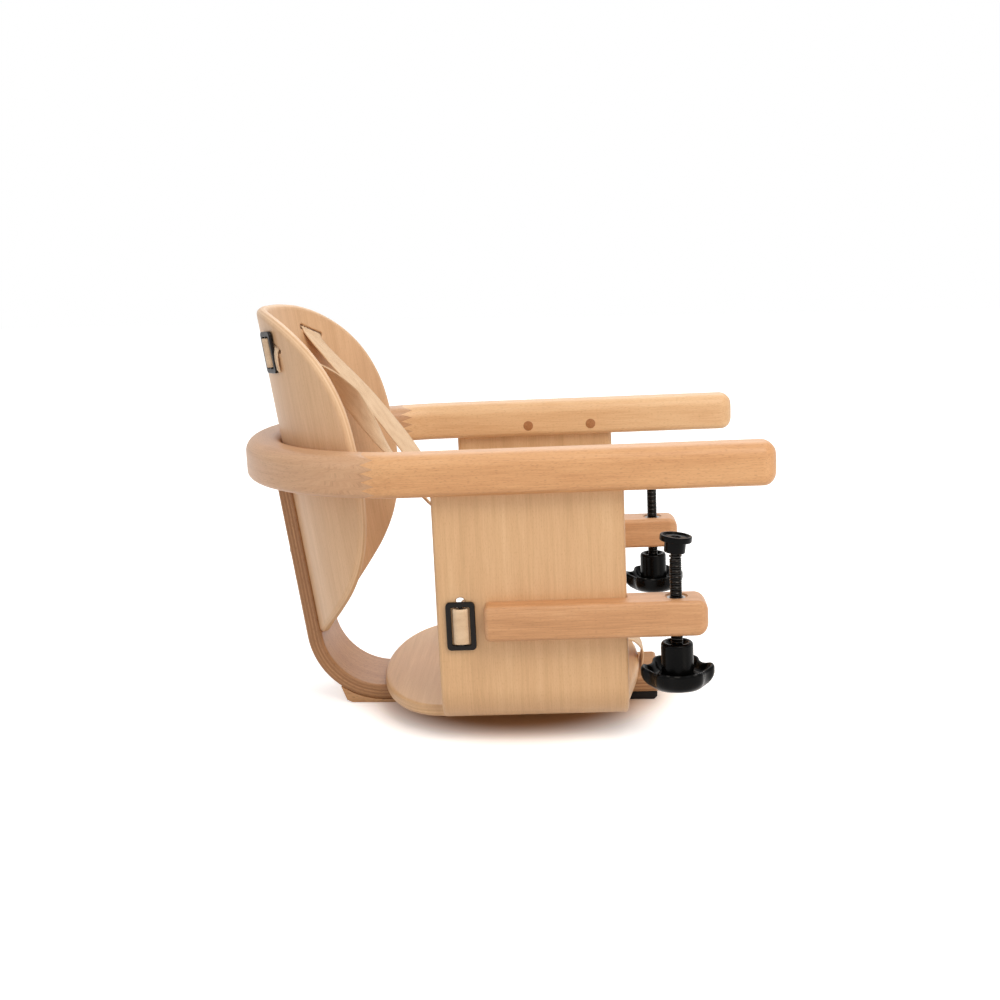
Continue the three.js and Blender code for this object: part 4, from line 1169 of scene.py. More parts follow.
@dataclass
class Backrest:
    """A moulded plywood shell: part of a leaning cylinder, with two slanted slots for the shoulder straps."""

    radius: float = 135.0
    thickness: float = 10.0
    lean: float = math.radians(7)
    face_x: float = -301.0
    top: float = 150.0
    tip: float = -157.0
    widest: float = math.radians(66.5)
    edge: float = 4.7
    slot_edge: float = 1.2
    slot_length: float = 31.0
    slot_height: float = 5.0
    slot_y: float = 69.8
    slot_z: float = 118.3
    slot_slant: float = math.radians(30)
    shares: tuple[Point2, ...] = (
        (0, 1), (0.26, 0.994), (0.46, 0.975), (0.64, 0.935), (0.8, 0.87), (0.91, 0.79), (0.975, 0.7),
        (1, 0.6), (1, 0.48), (0.965, 0.36), (0.9, 0.27), (0.79, 0.19), (0.64, 0.125), (0.47, 0.072),
        (0.32, 0.036), (0.16, 0.012), (0, 0.004),
    )

    @property
    def middle(self) -> float:
        """Radius of the shell's middle."""
        return self.radius - self.thickness / 2

    @property
    def slot_angle(self) -> float:
        """Angle from straight back to a slot's middle."""
        return math.asin(self.slot_y / self.middle)

    @property
    def slant(self) -> float:
        """Slant of a slot on the flat board."""
        return math.atan(math.tan(self.slot_slant) * math.cos(self.slot_angle))

    def matrix(self) -> Matrix:
        """Lean of the shell, about the line where its back meets the rail's level."""
        return Matrix.Translation((self.face_x, 0, 0)) @ Matrix.Rotation(-self.lean, 4, "Y")

    def rolled(self, radius: float, angle: float, z: float) -> Point3:
        """Place a point by its radius, its angle and its height on the leaning cylinder."""
        local = Vector((self.radius - radius * math.cos(angle), radius * math.sin(angle), z))
        return tuple(self.matrix() @ local)

    def bend(self, u: float, v: float, height: float) -> Point3:
        """Roll the flat board onto the leaning cylinder; a positive height is outwards."""
        return self.rolled(self.middle + height, u / self.middle, v)

    def outline(self) -> list[Point2]:
        """Outline the flat board, anticlockwise from its top.

        Returns:
            The outline.
        """
        half = [(max(float(a) * self.widest * self.middle, 0.0), self.tip + float(h) * (self.top - self.tip))
                for a, h in smooth_line(self.shares, 9)]
        return [(-u, v) for u, v in half][:-1] + half[:0:-1]

    def slots(self) -> list[list[Point2]]:
        """Outline the two strap slots.

        Returns:
            The outlines.
        """
        half, thick = self.slot_length / 2, self.slot_height / 2
        centre = self.middle * self.slot_angle
        shape = even_line(soft_rectangle(-half, -thick, half, thick, thick * 0.98, 8), 2.0)
        return [[(side * centre + u * math.cos(turn) - v * math.sin(turn),
                  self.slot_z + u * math.sin(turn) + v * math.cos(turn)) for u, v in shape]
                for side, turn in ((1, -self.slant), (-1, self.slant))]

    def build(self) -> None:
        """Build the shell."""
        reach = self.widest * self.middle
        sheet = Sheet(self.outline(), self.thickness, self.edge, self.bend, self.slots(),
                      np.linspace(-reach, reach, 61), np.linspace(self.tip, self.top, 54), turn_grain=True,
                      hole_edge=self.slot_edge)
        # The backrest's finish carries painted shade on its faces and a painted highlight on its rim.
        Piece("backrest_moulding", sheet.shape(), BACK_PLY_PAINTED_LIGHT, "backrest_shell").build()


@dataclass
class SeatShell:
    """One moulded plywood sheet: the seat with its tongue, and both side panels."""

    half_width: float = 155.0
    thickness: float = 10.0
    bend_radius: float = 34.0
    depth: float = 157.3
    underside: float = -199.7
    tenon: float = 13.5
    tongue: float = 65.0
    tongue_half: float = 128.0
    bulge: float = 15.0
    bulge_inset: float = 3.0
    corner: float = 3.0
    root: tuple[Point2, ...] = ((5.2, 0.0), (2.4, 0.8), (0.7, 3.0), (0.0, 6.5))
    root_depth: float = 9.0
    slot_x: float = -137.0
    slot_z: float = -107.0
    slot_width: float = 8.0
    slot_height: float = 40.0
    slot_edge: float = 1.2
    edge: float = 3.4

    @property
    def middle(self) -> float:
        """Radius of the bend's middle."""
        return self.bend_radius - self.thickness / 2

    @property
    def flat_half(self) -> float:
        """Half of the flat part's width."""
        return self.half_width - self.bend_radius

    @property
    def arc(self) -> float:
        """Length of each bend's middle."""
        return self.middle * math.pi / 2

    def up(self, z: float) -> float:
        """Length from the sheet's middle to a height on a panel, along the sheet."""
        return self.flat_half + self.arc + z - self.underside - self.bend_radius

    def bend(self, u: float, v: float, height: float) -> Point3:
        """Fold the flat board into the seat and its panels.

        Args:
            u: Place across the seat and up a panel.
            v: Place forwards.
            height: Height from the board's middle, outwards.

        Returns:
            The point of the chair.
        """
        side, across = (1 if u >= 0 else -1), abs(u)
        if across <= self.flat_half:
            return (v, u, self.underside + self.thickness / 2 - height)
        centre_z = self.underside + self.bend_radius
        radius = self.middle + height
        if across <= self.flat_half + self.arc:
            angle = (across - self.flat_half) / self.middle
            y, z = self.flat_half + radius * math.sin(angle), centre_z - radius * math.cos(angle)
        else:
            y, z = self.flat_half + radius, centre_z + (across - self.flat_half - self.arc)
        return (v, side * y, z)

    def front(self, steps: int = 40) -> list[Point2]:
        """Draw the seat's bulging front edge on the flat board.

        Args:
            steps: Steps on the edge.

        Returns:
            The edge, from left to right.
        """
        made = []
        for k in range(steps + 1):
            y = self.half_width * (2 * k / steps - 1)
            share = min((abs(y) - self.flat_half) / self.bend_radius, 1.0)
            u = y if share < 0 else math.copysign(self.flat_half + self.middle * math.asin(share), y)
            wave = math.cos(math.pi / 2 * min(abs(y) / (self.flat_half - self.bulge_inset), 1.0))
            made.append((u, self.bulge * wave**1.2))
        return made

    def outline(self) -> list[Point2]:
        """Outline the flat board as (across, forwards), anticlockwise.

        Returns:
            The outline.
        """
        reach, depth, corner = self.up(self.tenon), self.depth, self.corner
        tongue_u = self.flat_half + self.middle * math.asin((self.tongue_half - self.flat_half) / self.middle)
        right = [(reach - corner, 0.0)]
        right += [(reach - corner + corner * math.sin(a), -corner + corner * math.cos(a)) for a in (0.5, 1.1)]
        right += [(reach, -corner), (reach, -depth + corner), (reach - corner * 0.3, -depth + corner * 0.3),
                  (reach - corner, -depth), *((tongue_u + out, -depth - behind) for out, behind in self.root)]
        angles = [math.pi * k / 64 for k in range(1, 64)]
        back = [(tongue_u * math.cos(a), -depth - self.tongue * math.sin(a) ** 0.9) for a in angles]
        back = [p for p in back if p[1] < -depth - self.root_depth]
        line = right + back + [(-u, v) for u, v in reversed(right)]
        front = [p for p in reversed(self.front()) if abs(p[0]) < reach - corner - 1]
        return even_line(line[::-1] + front, 3.0)

    def slots(self) -> list[list[Point2]]:
        """Outline the two waist strap slots.

        Returns:
            The outlines.
        """
        centre, half, tall = self.up(self.slot_z), self.slot_width / 2, self.slot_height / 2
        return [even_line(soft_rectangle(side * centre - tall, self.slot_x - half, side * centre + tall,
                                         self.slot_x + half, half * 0.96, 8), 2.0) for side in (1, -1)]

    def build(self) -> None:
        """Build the shell, with finer lines where it bends."""
        flat, turn, reach = self.flat_half, self.flat_half + self.arc, self.up(self.tenon)
        right = [*np.linspace(flat, turn, 25), *np.linspace(turn, reach, 22)[1:]]
        u_lines = [-u for u in reversed(right)] + [*np.linspace(-flat, flat, 31)[1:-1]] + right
        sheet = Sheet(self.outline(), self.thickness, self.edge, self.bend, self.slots(), u_lines,
                      np.linspace(-self.depth - self.tongue, self.bulge, 32), hole_edge=self.slot_edge)
        Piece("seat_moulding", sheet.shape(), PLY, "seat_shell").build()


@dataclass
class Spine:
    """A laminated strip that runs down behind the backrest and forward under the seat."""

    width: float = 80.0
    thickness: float = 13.5
    lean: float = math.radians(7)
    face_x: float = -301.0
    sag: float = 6.3
    top: float = 24.0
    radius: float = 70.0
    front: float = 33.0
    upper: float = -200.0
    edge: float = 2.6
    corner: float = 4.0

    def frame(self) -> tuple[float, float, float, float, float]:
        """Work out the strip's line.

        Returns:
            The bend's centre x and z, the middle radius, the leaning length and the bend's length.
        """
        slope, level = math.tan(self.lean), self.thickness / math.cos(self.lean)
        under = self.upper - self.thickness
        turn = math.pi / 2 - self.lean
        centre_x = self.face_x + self.sag - slope * under - level + self.radius * math.tan(turn / 2)
        centre_z = under + self.radius
        middle = self.radius - self.thickness / 2
        leaning = (self.top - centre_z + middle * math.sin(self.lean)) / math.cos(self.lean)
        return centre_x, centre_z, middle, leaning, middle * turn

    def bend(self, u: float, v: float, height: float) -> Point3:
        """Bend the flat strip.

        Args:
            u: Place from the top end forwards.
            v: Place across.
            height: Height from the strip's middle, outwards.

        Returns:
            The point of the chair.
        """
        centre_x, centre_z, middle, leaning, arc = self.frame()
        radius = middle + height
        if u >= leaning + arc:
            return (centre_x + u - leaning - arc, v, centre_z - radius)
        angle = math.pi + self.lean + max(u - leaning, 0.0) / middle
        back = max(leaning - u, 0.0)
        return (centre_x + radius * math.cos(angle) - back * math.sin(self.lean), v,
                centre_z + radius * math.sin(angle) + back * math.cos(self.lean))

    def build(self) -> None:
        """Build the strip, with finer lines where it bends."""
        centre_x, _, _, leaning, arc = self.frame()
        length, half = leaning + arc + self.front - centre_x, self.width / 2
        outline = even_line(soft_rectangle(0.0, -half, length, half, self.corner, 5), 3.0)
        u_lines = [*np.linspace(0, leaning, 20), *np.linspace(leaning, leaning + arc, 34)[1:],
                   *np.linspace(leaning + arc, length, 24)[1:]]
        sheet = Sheet(outline, self.thickness, self.edge, self.bend, [], u_lines,
                      np.linspace(-half, half, 11))
        Piece("spine_strip", sheet.shape(), STRIP, "spine").build()


@dataclass
class ClampArm:
    """A beech arm on the side panel, rebated round it, that carries a clamp screw."""

    rear: float = -117.0
    front: float = 65.0
    top: float = -91.0
    bottom: float = -121.0
    inner: float = 138.0
    outer: float = 172.0
    edge: float = 4.0
    plan_radius: float = 8.0
    end_radius: float = 10.0
    screw_x: float = 40.0
    screw_y: float = 154.0
    sink_radius: float = 9.5
    hole_radius: float = 7.6
    sink_depth: float = 1.3
    sink_chamfer: Point2 = (0.9, 0.3)
    insert_bore: float = 5.3
    insert_sunk: float = 1.1
    insert_up: float = 8.0
    insert_chamfer: Point2 = (0.6, 0.8)
    grain_shift: float = 300.0
    past: float = 20.0

    def axis(self, side: int) -> Matrix:
        """Place of the screw's axis on one side."""
        return Matrix.Translation((self.screw_x, side * self.screw_y, 0))

    def grain(self, point: Point3) -> Point3:
        """Lay the grain along the arm."""
        return (point[0] + self.grain_shift, point[1], point[2])

    def row(self, x: float, narrow: float = 0.0, lower: float = 0.0) -> list[Point3]:
        """Draw the arm's rounded section.

        Args:
            x: Where it lies.
            narrow: How far its sides are drawn in.
            lower: How far its top and bottom are drawn in.

        Returns:
            The section's points.
        """
        shape = soft_rectangle(self.inner, self.bottom, self.outer, self.top, self.edge, 6)
        cy, cz = (self.inner + self.outer) / 2, (self.top + self.bottom) / 2
        wide = 1 - narrow / ((self.outer - self.inner) / 2)
        tall = 1 - lower / ((self.top - self.bottom) / 2)
        return [(x, cy + (y - cy) * wide, cz + (z - cz) * tall) for y, z in shape]

    def nose(self, plan: float, rise: float, x: float, outward: int, share: float) -> list[Point3]:
        """Draw a section within a rounded end.

        Args:
            plan: Radius of the end as seen from above.
            rise: Radius of the end as seen from the side.
            x: Where the arm ends.
            outward: 1 at the front end, -1 at the rear end.
            share: 0 at the end itself, 1 where the rounding meets the straight, as a share of the turn.

        Returns:
            The section's points.
        """
        setback = max(plan, rise) * (1 - math.sin(math.pi / 2 * share))
        near = [max(radius - setback, 0.0) for radius in (plan, rise)]
        narrow, lower = (radius - math.sqrt(max(radius**2 - part**2, 0.0))
                         for radius, part in zip((plan, rise), near))
        return self.row(x - outward * setback, narrow, lower)

    def shape(self, steps: int = 9, straight: int = 14) -> Shape:
        """Build the left arm before its rebate and hole are cut.

        Args:
            steps: Steps on each rounded end.
            straight: Steps on the straight.

        Returns:
            The arm's shape.
        """
        first, last = self.rear + self.edge, self.front - self.end_radius
        rows = [self.nose(self.edge, self.edge, self.rear, -1, k / steps) for k in range(steps, -1, -1)]
        rows += [self.row(first + (last - first) * k / straight) for k in range(1, straight)]
        rows += [self.nose(self.plan_radius, self.end_radius, self.front, 1, k / steps)
                 for k in range(steps + 1)]
        return loft(rows)

    def cutters(self) -> tuple[Shape, Shape]:
        """Build the rebate that holds the panel, and the countersunk hole of the clamp screw.

        Returns:
            The two shapes to cut away.
        """
        y0, y1 = self.inner - self.past, PANEL_FACE + GAP
        z0, z1 = self.bottom - self.past, self.top + self.past
        ring = ((y0, z0), (y1, z0), (y1, z1), (y0, z1))
        rebate = loft([[(x, y, z) for y, z in ring] for x in (self.rear - self.past, GAP)])
        low, top, hole, sink = self.bottom - self.past, self.top, self.hole_radius, self.sink_radius
        floor, (wide, tall) = top - self.sink_depth, self.sink_chamfer
        return rebate, turned([(0, low), (hole, low), (hole, floor - tall), (sink - wide, floor), (sink, top),
                               (sink, top + self.past), (0, top + self.past)]).moved(self.axis(1))

    def insert(self) -> Shape:
        """Build the threaded steel insert, sunk just below the arm's top.

        Returns:
            The insert's shape.
        """
        top, low, outer = self.top - self.insert_sunk, self.bottom + self.insert_up, self.hole_radius - 0.1
        bore, (wide, tall) = self.insert_bore, self.insert_chamfer
        section = [(bore, low), (outer, low), (outer, top), (bore + wide, top), (bore, top - tall)]
        return tube(section).moved(self.axis(1))

    def build(self, hand: str, side: int) -> None:
        """Build one arm with its insert.

        Args:
            hand: "left" or "right".
            side: 1 for the left, -1 for the right.
        """
        Piece(f"{hand}_clamp_bar", self.shape().mirrored(side), CLAMP_BEECH, f"{hand}_clamp_arm",
              cutters=[cutter.mirrored(side) for cutter in self.cutters()], regrain=self.grain).build()
        Piece(f"{hand}_insert_ring", self.insert().mirrored(side), STEEL, f"{hand}_threaded_insert").build()


@dataclass
class ClampScrew:
    """An M10 screw with its lobed knob and its swivel pad, drawn on the screw's own axis."""

    radius: float = 5.0
    pitch: float = 1.5
    thread_low: float = -149.0
    thread_high: float = -58.6
    ball_z: float = -48.17
    ball: float = 4.6
    neck: float = 3.5
    knob_radius: float = 30.5
    root_radius: float = 25.5
    lobes: int = 6
    knob_bottom: float = -168.6
    knob_flat: float = 14.4
    knob_centre: float = 8.0
    belly: float = 5.6
    dip: float = 2.2
    rim_top: float = -150.0
    hub_radius: float = 13.3
    hub_top: float = -130.0
    rim_rows: tuple[tuple[float, ...], ...] = (
        (0.0, 2.4, 1.0, 0.9), (0.35, 1.0, 1.0, 1.0), (1.3, 0.0, 1.0, 1.0), (2.6, 0.1, 1.0, 1.0),
        (3.7, 1.2, 1.0, 0.9), (4.6, 3.4, 1.0, 0.5), (6.4, 6.3, 0.9, 0.1), (9.5, 8.37, 0.6, 0.0),
        (13.3, 9.0, 0.15, 0.0), (15.1, 8.7, 0.0, 0.0), (16.4, 7.7, 0.0, 0.0), (17.2, 5.8, 0.0, 0.0),
    )
    hub_rows: tuple[Point2, ...] = ((0.0, 2.6), (0.3, 1.4), (0.9, 0.5), (1.9, 0.0), (3.6, 0.0), (4.6, 0.9),
                                    (5.5, 3.0), (6.9, 4.2), (7.9, 4.4))
    ring_low: float = -57.9
    ring_rows: tuple[Point2, ...] = ((3.8, 0.0), (5.2, 0.0), (5.3, 0.2), (5.3, 0.8), (5.2, 1.0), (3.8, 1.0))
    pad_top: float = -40.0
    pad_rows: tuple[Point3, ...] = (
        (0.0, 2.6, 0), (3.6, 2.6, 0.3), (4.2, 1.5, 0.3), (10.6, 1.5, 0.3), (11.2, 0.0, 0.3),
        (13.2, 0.0, 0.8), (13.2, 5.0, 0.8), (8.8, 5.0, 0.8), (8.8, 14.5, 1.0), (6.6, 14.5, 0.3),
        (6.2, 13.4, 0.2), (0.0, 13.4, 0),
    )
    pad_tilt: float = math.radians(7)

    @property
    def depth(self) -> float:
        """Depth of the thread."""
        return 0.61 * self.pitch

    def core(self) -> Shape:
        """Build the shank inside the thread, with the neck and the ball that holds the pad.

        Returns:
            The shape on the z axis.
        """
        root, swing = self.radius - self.depth, math.pi - math.asin(self.neck / self.ball)
        profile = [(0.0, self.thread_low), (root, self.thread_low), (root, self.thread_high - 0.4),
                   (root - 0.5, self.thread_high), (self.neck, self.thread_high)]
        turns = [swing - swing * k / 8 for k in range(9)]
        profile += [(self.ball * math.sin(a), self.ball_z + self.ball * math.cos(a)) for a in turns]
        return turned(profile, 40)

    def knob_rows(self) -> list[tuple[float, float, float, float]]:
        """Draw the knob's profile: a bowl-shaped underside, a rounded rim, a dished top and a hub.

        Returns:
            Radius, height, share of the lobes and share of the rim's dip of each row.
        """
        bottom, rim, wide, flat = self.knob_bottom, self.rim_top, self.knob_radius, self.knob_flat
        rows = [(self.knob_centre, bottom, 0.0, 0.0), (flat, bottom + 0.15, 0.1, 0.0)]
        for a in (math.radians(degrees) for degrees in (15, 30, 45, 60, 72, 82, 90)):
            rise = (rim - self.belly - bottom) * (1 - math.cos(a))
            rows.append((flat + (wide - flat) * math.sin(a), bottom + rise, math.sin(a) ** 2.5, 0.0))
        rows += [(wide - inset, rim - drop, lobed, dip) for inset, drop, lobed, dip in self.rim_rows]
        rows += [(self.hub_radius - inset, self.hub_top - drop, 0.0, 0.0) for inset, drop in self.hub_rows]
        return rows

    def knob(self, steps: int = 120) -> Shape:
        """Build the lobed knob.

        Args:
            steps: Points round it.

        Returns:
            The shape on the z axis.
        """
        wide = self.knob_radius
        middle, swing = (wide + self.root_radius) / 2, (wide - self.root_radius) / 2
        rings = []
        for radius, z, lobed, dip in self.knob_rows():
            ring = []
            for k, (c, s) in enumerate(circle(steps)):
                wave = math.cos(self.lobes * 2 * math.pi * k / steps)
                wave = math.copysign(abs(wave) ** 0.7, wave)
                edge = middle + swing * wave
                r = radius * (1 - lobed) + lobed * (edge - (wide - radius) * (0.55 + 0.45 * edge / wide))
                ring.append((r * c, r * s, z - dip * self.dip * (1 - wave) / 2))
            rings.append(ring)
        return poled(rings, self.knob_bottom, self.hub_top - self.hub_rows[-1][1])

    def ring(self) -> Shape:
        """Build the snap ring that holds the pad on the ball."""
        return tube([(radius, self.ring_low + z) for radius, z in self.ring_rows])

    def pad(self, tilt: float) -> Shape:
        """Build the swivel pad: a dished flange over a short hub, tilted on the ball.

        Args:
            tilt: Its tilt about Y.

        Returns:
            The shape on the z axis.
        """
        profile = [(radius, self.pad_top - drop, corner) for radius, drop, corner in self.pad_rows]
        here = Vector((0, 0, self.ball_z))
        swivel = Matrix.Translation(here) @ Matrix.Rotation(tilt, 4, "Y") @ Matrix.Translation(-here)
        return turned(rounded_profile(profile, 4)[::-1], 56).moved(swivel)

    def build(self, hand: str, side: int, axis: Matrix) -> None:
        """Build one screw with its thread, knob, snap ring and pad.

        Args:
            hand: "left" or "right".
            side: 1 for the left, -1 for the right.
            axis: Place of its axis.
        """
        Piece(f"{hand}_screw_shank", self.core().moved(axis), BLACK_STEEL, f"{hand}_clamp_screw",
              f"{hand}_screw").build()
        mesh = thread_mesh(self, f"{hand}_screw_thread")
        mesh.transform(CHAIR @ axis @ Matrix.Translation((0, 0, self.thread_low + self.pitch / 2)))
        thread = add_object(f"{hand}_screw_thread", mesh)
        finish_piece(thread, BLACK_STEEL, body=f"{hand}_screw", sharp=30.0)
        pad = self.pad(0.0 if side > 0 else self.pad_tilt)
        for name, shape, finish, node, body, sharp, slot in (
            ("knob_grip", self.knob(), KNOB_PLASTIC, "knob", "screw", 50.0, None),
            ("ring_snap", self.ring(), BLACK_STEEL, "snap_ring", "carrier", 35.0, Slot.STEEL),
            ("pad_cup", pad, KNOB_PLASTIC, "swivel_pad", "pad", 35.0, None),
        ):
            Piece(f"{hand}_{name}", shape.moved(axis), finish, f"{hand}_{node}", f"{hand}_{body}", sharp,
                  slot).build()


@dataclass
class Harness:
    """Woven straps, their adjusters and the buckle's place."""

    waist_width: float = 30.0
    shoulder_width: float = 25.0
    glide_bar: float = 4.4
    glide_window: float = 15.5
    glide_thick: float = 3.0
    glide_play: float = 1.2
    waist_x: float = -137.2
    waist_z: float = -110.7
    back_z: float = 112.0
    back_angle: float = math.radians(30)
    buckle: Point3 = (-44.0, 0.0, -112.0)
    buckle_half: float = 23.2
    tongue_y: float = 36.2
    strap_y: float = 13.7
    waist_lift: float = 3.7
    stitch: float = 3.0
    stitch_length: float = 2.3
    stitch_thick: float = 0.36
    seam_inset: float = 2.6
    shoulder_seam: Point2 = (6.0, 24.0)
    crotch_seam: Point2 = (4.0, 18.0)
    run_turn: Point3 = (0.33, 0.88, 0.28)
    through_run: tuple[Point2, ...] = ((136.6, 100.0), (136.6, 111.0), (134.4, 118.4), (130.0, 119.5),
                                       (125.4, 118.0), (123.3, 112.6))
    run: tuple[Point3, ...] = ((-233, 54, 56), (-193, 38, 5), (-168, 27, -36), (-120, 19, -70))
    slack_run: tuple[Point3, ...] = ((-261, 62, 103), (-237, 50, 74), (-219, 40, 44), (-201, 31, 13),
                                     (-168, 27, -36), (-120, 19, -70))
    slack_turns: tuple[Point3, ...] = ((0.62, 0.62, -0.2), (0.55, 0.5, 0.4), (0.1, 0.1, 1.0),
                                       (-0.4, -0.5, 0.6), (-0.5, -0.8, 0.2), (-0.2, -1, 0), (0, -1, 0))
    waist_run: tuple[Point2, ...] = ((-90.5, 85.0), (-133.0, 135.0), (-136.6, 146.5), (-137.0, 153.0))
    crotch_run: tuple[Point2, ...] = ((17.2, -198.0), (18.6, -190.0), (18.4, -182.0), (12.0, -173.5),
                                      (-3.0, -168.0), (-22.0, -156.0))
    loop_run: tuple[Point2, ...] = ((-1.8, -10.0), (-2.4, -3.4), (-5.0, -0.6), (-5.5, 1.2), (-3.2, 2.8),
                                    (0.0, 3.2), (3.2, 2.8), (5.5, 1.2), (5.0, -0.6), (2.4, -3.4),
                                    (1.8, -10.0))

    def glide(self, web: float) -> Shape:
        """Build a flat adjuster with two windows, in the x-z plane with its middle at the origin.

        Args:
            web: Width of its strap.

        Returns:
            The adjuster's shape.
        """
        tall, bar, window = web / 2 + self.glide_play, self.glide_bar / 4, self.glide_window / 2
        half, reach = tall + self.glide_bar, window + self.glide_bar
        outline = even_line(soft_rectangle(-reach, -half, reach, half, 3.5, 5), 2.5)
        windows = [even_line(soft_rectangle(low, -tall, high, tall, 1.0, 3), 2.5)
                   for low, high in ((-window, -bar), (bar, window))]
        return Sheet(outline, self.glide_thick, 0.75, lambda u, v, h: (u, -h, v), windows,
                     np.linspace(-reach, reach, 5), np.linspace(-half, half, 5), hole_edge=0.75, edge_steps=3,
                     hold=0.12).shape()

    def waist_place(self) -> Matrix:
        """Place of the left waist adjuster against the outside of the panel."""
        return Matrix.Translation((self.waist_x, PANEL_FACE + self.glide_thick / 2 + GAP, self.waist_z))

    def back_place(self, back: Backrest) -> Matrix:
        """Place of the left shoulder adjuster against the back of the backrest."""
        turn = Matrix.Rotation(math.pi / 2 - self.back_angle, 4, "Z")
        return (back.matrix() @ Matrix.Translation((back.radius, 0, self.back_z)) @ turn
                @ Matrix.Translation((0, back.radius + self.glide_thick / 2 + GAP, 0)))

    def shoulder(self, back: Backrest, side: int) -> Ribbon:
        """Lead a shoulder strap from its adjuster through its slot down to the buckle, drawn for the left.

        Args:
            back: The backrest with the slots.
            side: 1 for the left strap, -1 for the right, which hangs slack with a twist in it.

        Returns:
            The strap.
        """
        angle, slant = back.slot_angle, back.slant
        line = back.matrix().to_3x3() @ Vector((math.sin(angle) * math.cos(slant),
                                                math.cos(angle) * math.cos(slant), -math.sin(slant)))
        through = [back.rolled(radius, angle, z) for radius, z in self.through_run]
        end = (self.buckle[0], self.strap_y, self.buckle[2] + self.buckle_half)
        out, level = Vector(self.run_turn), Vector((0, 1, 0))
        turns = [line.lerp(out, 0.7), out, out, out.lerp(level, 0.6), level] if side > 0 else self.slack_turns
        run = self.run if side > 0 else self.slack_run
        return Ribbon([*through, *run, end], [*[line] * len(through), *turns], self.shoulder_width, steps=8)

    def loop(self, web: float) -> Ribbon:
        """Draw a strap over an adjuster's middle bar, in the adjuster's own place."""
        path = [(x, y, 0.0) for x, y in self.loop_run]
        return Ribbon(path, [(0, 0, 1)] * len(path), web, 1.3, 5)

    def waist(self) -> Ribbon:
        """Lead the left waist strap from the buckle's tongue into the slot of the side panel.

        Returns:
            The strap.
        """
        ends = ((self.buckle[0], self.tongue_y), *self.waist_run)
        path = [(x, y, self.waist_z + self.waist_lift) for x, y in ends]
        return Ribbon(path, [(0, 0, 1)] * len(path), self.waist_width - 1.0)

    def crotch(self) -> Ribbon:
        """Lead the crotch strap round the front edge of the seat and up to the buckle."""
        ends = (*self.crotch_run, (self.buckle[0], self.buckle[2] - self.buckle_half))
        return Ribbon([(x, 0, z) for x, z in ends], [(0, 1, 0)] * len(ends), self.waist_width)

    def sew(self, name: str, ribbon: Ribbon, first: float, length: float, side: int) -> None:
        """Sew a box of stitches onto a strap.

        Args:
            name: Name of the stitches.
            ribbon: The strap, drawn for the left.
            first: Distance of the box from the strap's end.
            length: Length of the box.
            side: 1 for the left, -1 for the right.
        """
        line, wides, faces = (list(reversed(part)) for part in ribbon.centre())
        walked, half, places, runs = 0.0, ribbon.width / 2 - self.seam_inset, [], []
        for i in range(1, len(line)):
            step = line[i] - line[i - 1]
            pieces = max(1, round(step.length / self.stitch))
            for k in range(pieces):
                at = walked + step.length * k / pieces
                if not first <= at <= first + length:
                    continue
                here = line[i - 1] + step * (k / pieces) + faces[i] * (ribbon.thickness / 2)
                places += [here + wides[i] * half, here - wides[i] * half]
                runs += [step.normalized()] * 2
                if at - first < self.stitch or first + length - at < self.stitch:
                    count = int(half * 2 / self.stitch)
                    places += [here + wides[i] * (half * (2 * c / count - 1)) for c in range(1, count)]
                    runs += [wides[i]] * (count - 1)
            walked += step.length
        flip = Matrix.Diagonal((1, side, 1))
        mesh = stitch_mesh([flip @ p for p in places], [flip @ r for r in runs], self.stitch_thick,
                           self.stitch_length, name)
        mesh.transform(CHAIR)
        finish_piece(add_object(name, mesh), STITCH, sharp=WEB_SHARP)

    def build(self, back: Backrest) -> None:
        """Build the straps, the adjusters and the stitches.

        Args:
            back: The backrest with the slots.
        """
        sets = (("waist", self.waist_width, self.waist_place()),
                ("shoulder", self.shoulder_width, self.back_place(back)))
        for hand, side in HANDS:
            for place, web, at in sets:
                Piece(f"{hand}_{place}_glide", self.glide(web).moved(at).mirrored(side), GLIDE_PLASTIC,
                      f"{hand}_{place}_adjuster").build()
            strap = self.shoulder(back, side)
            Piece(f"{hand}_shoulder_web", strap.shape().mirrored(side), WEBBING, f"{hand}_shoulder_strap",
                  sharp=WEB_SHARP).build()
            self.sew(f"{hand}_shoulder_stitches", strap, *self.shoulder_seam, side)
            Piece(f"{hand}_waist_web", self.waist().shape().mirrored(side), WEBBING, f"{hand}_waist_strap",
                  sharp=WEB_SHARP).build()
            for place, web, at in sets:
                Piece(f"{hand}_{place}_loop", self.loop(web).shape().moved(at).mirrored(side), WEBBING,
                      sharp=WEB_SHARP).build()
        Piece("crotch_web", self.crotch().shape(), WEBBING, "crotch_strap", sharp=WEB_SHARP).build()
        self.sew("crotch_stitches", self.crotch(), *self.crotch_seam, 1)


# Geometry Nodes


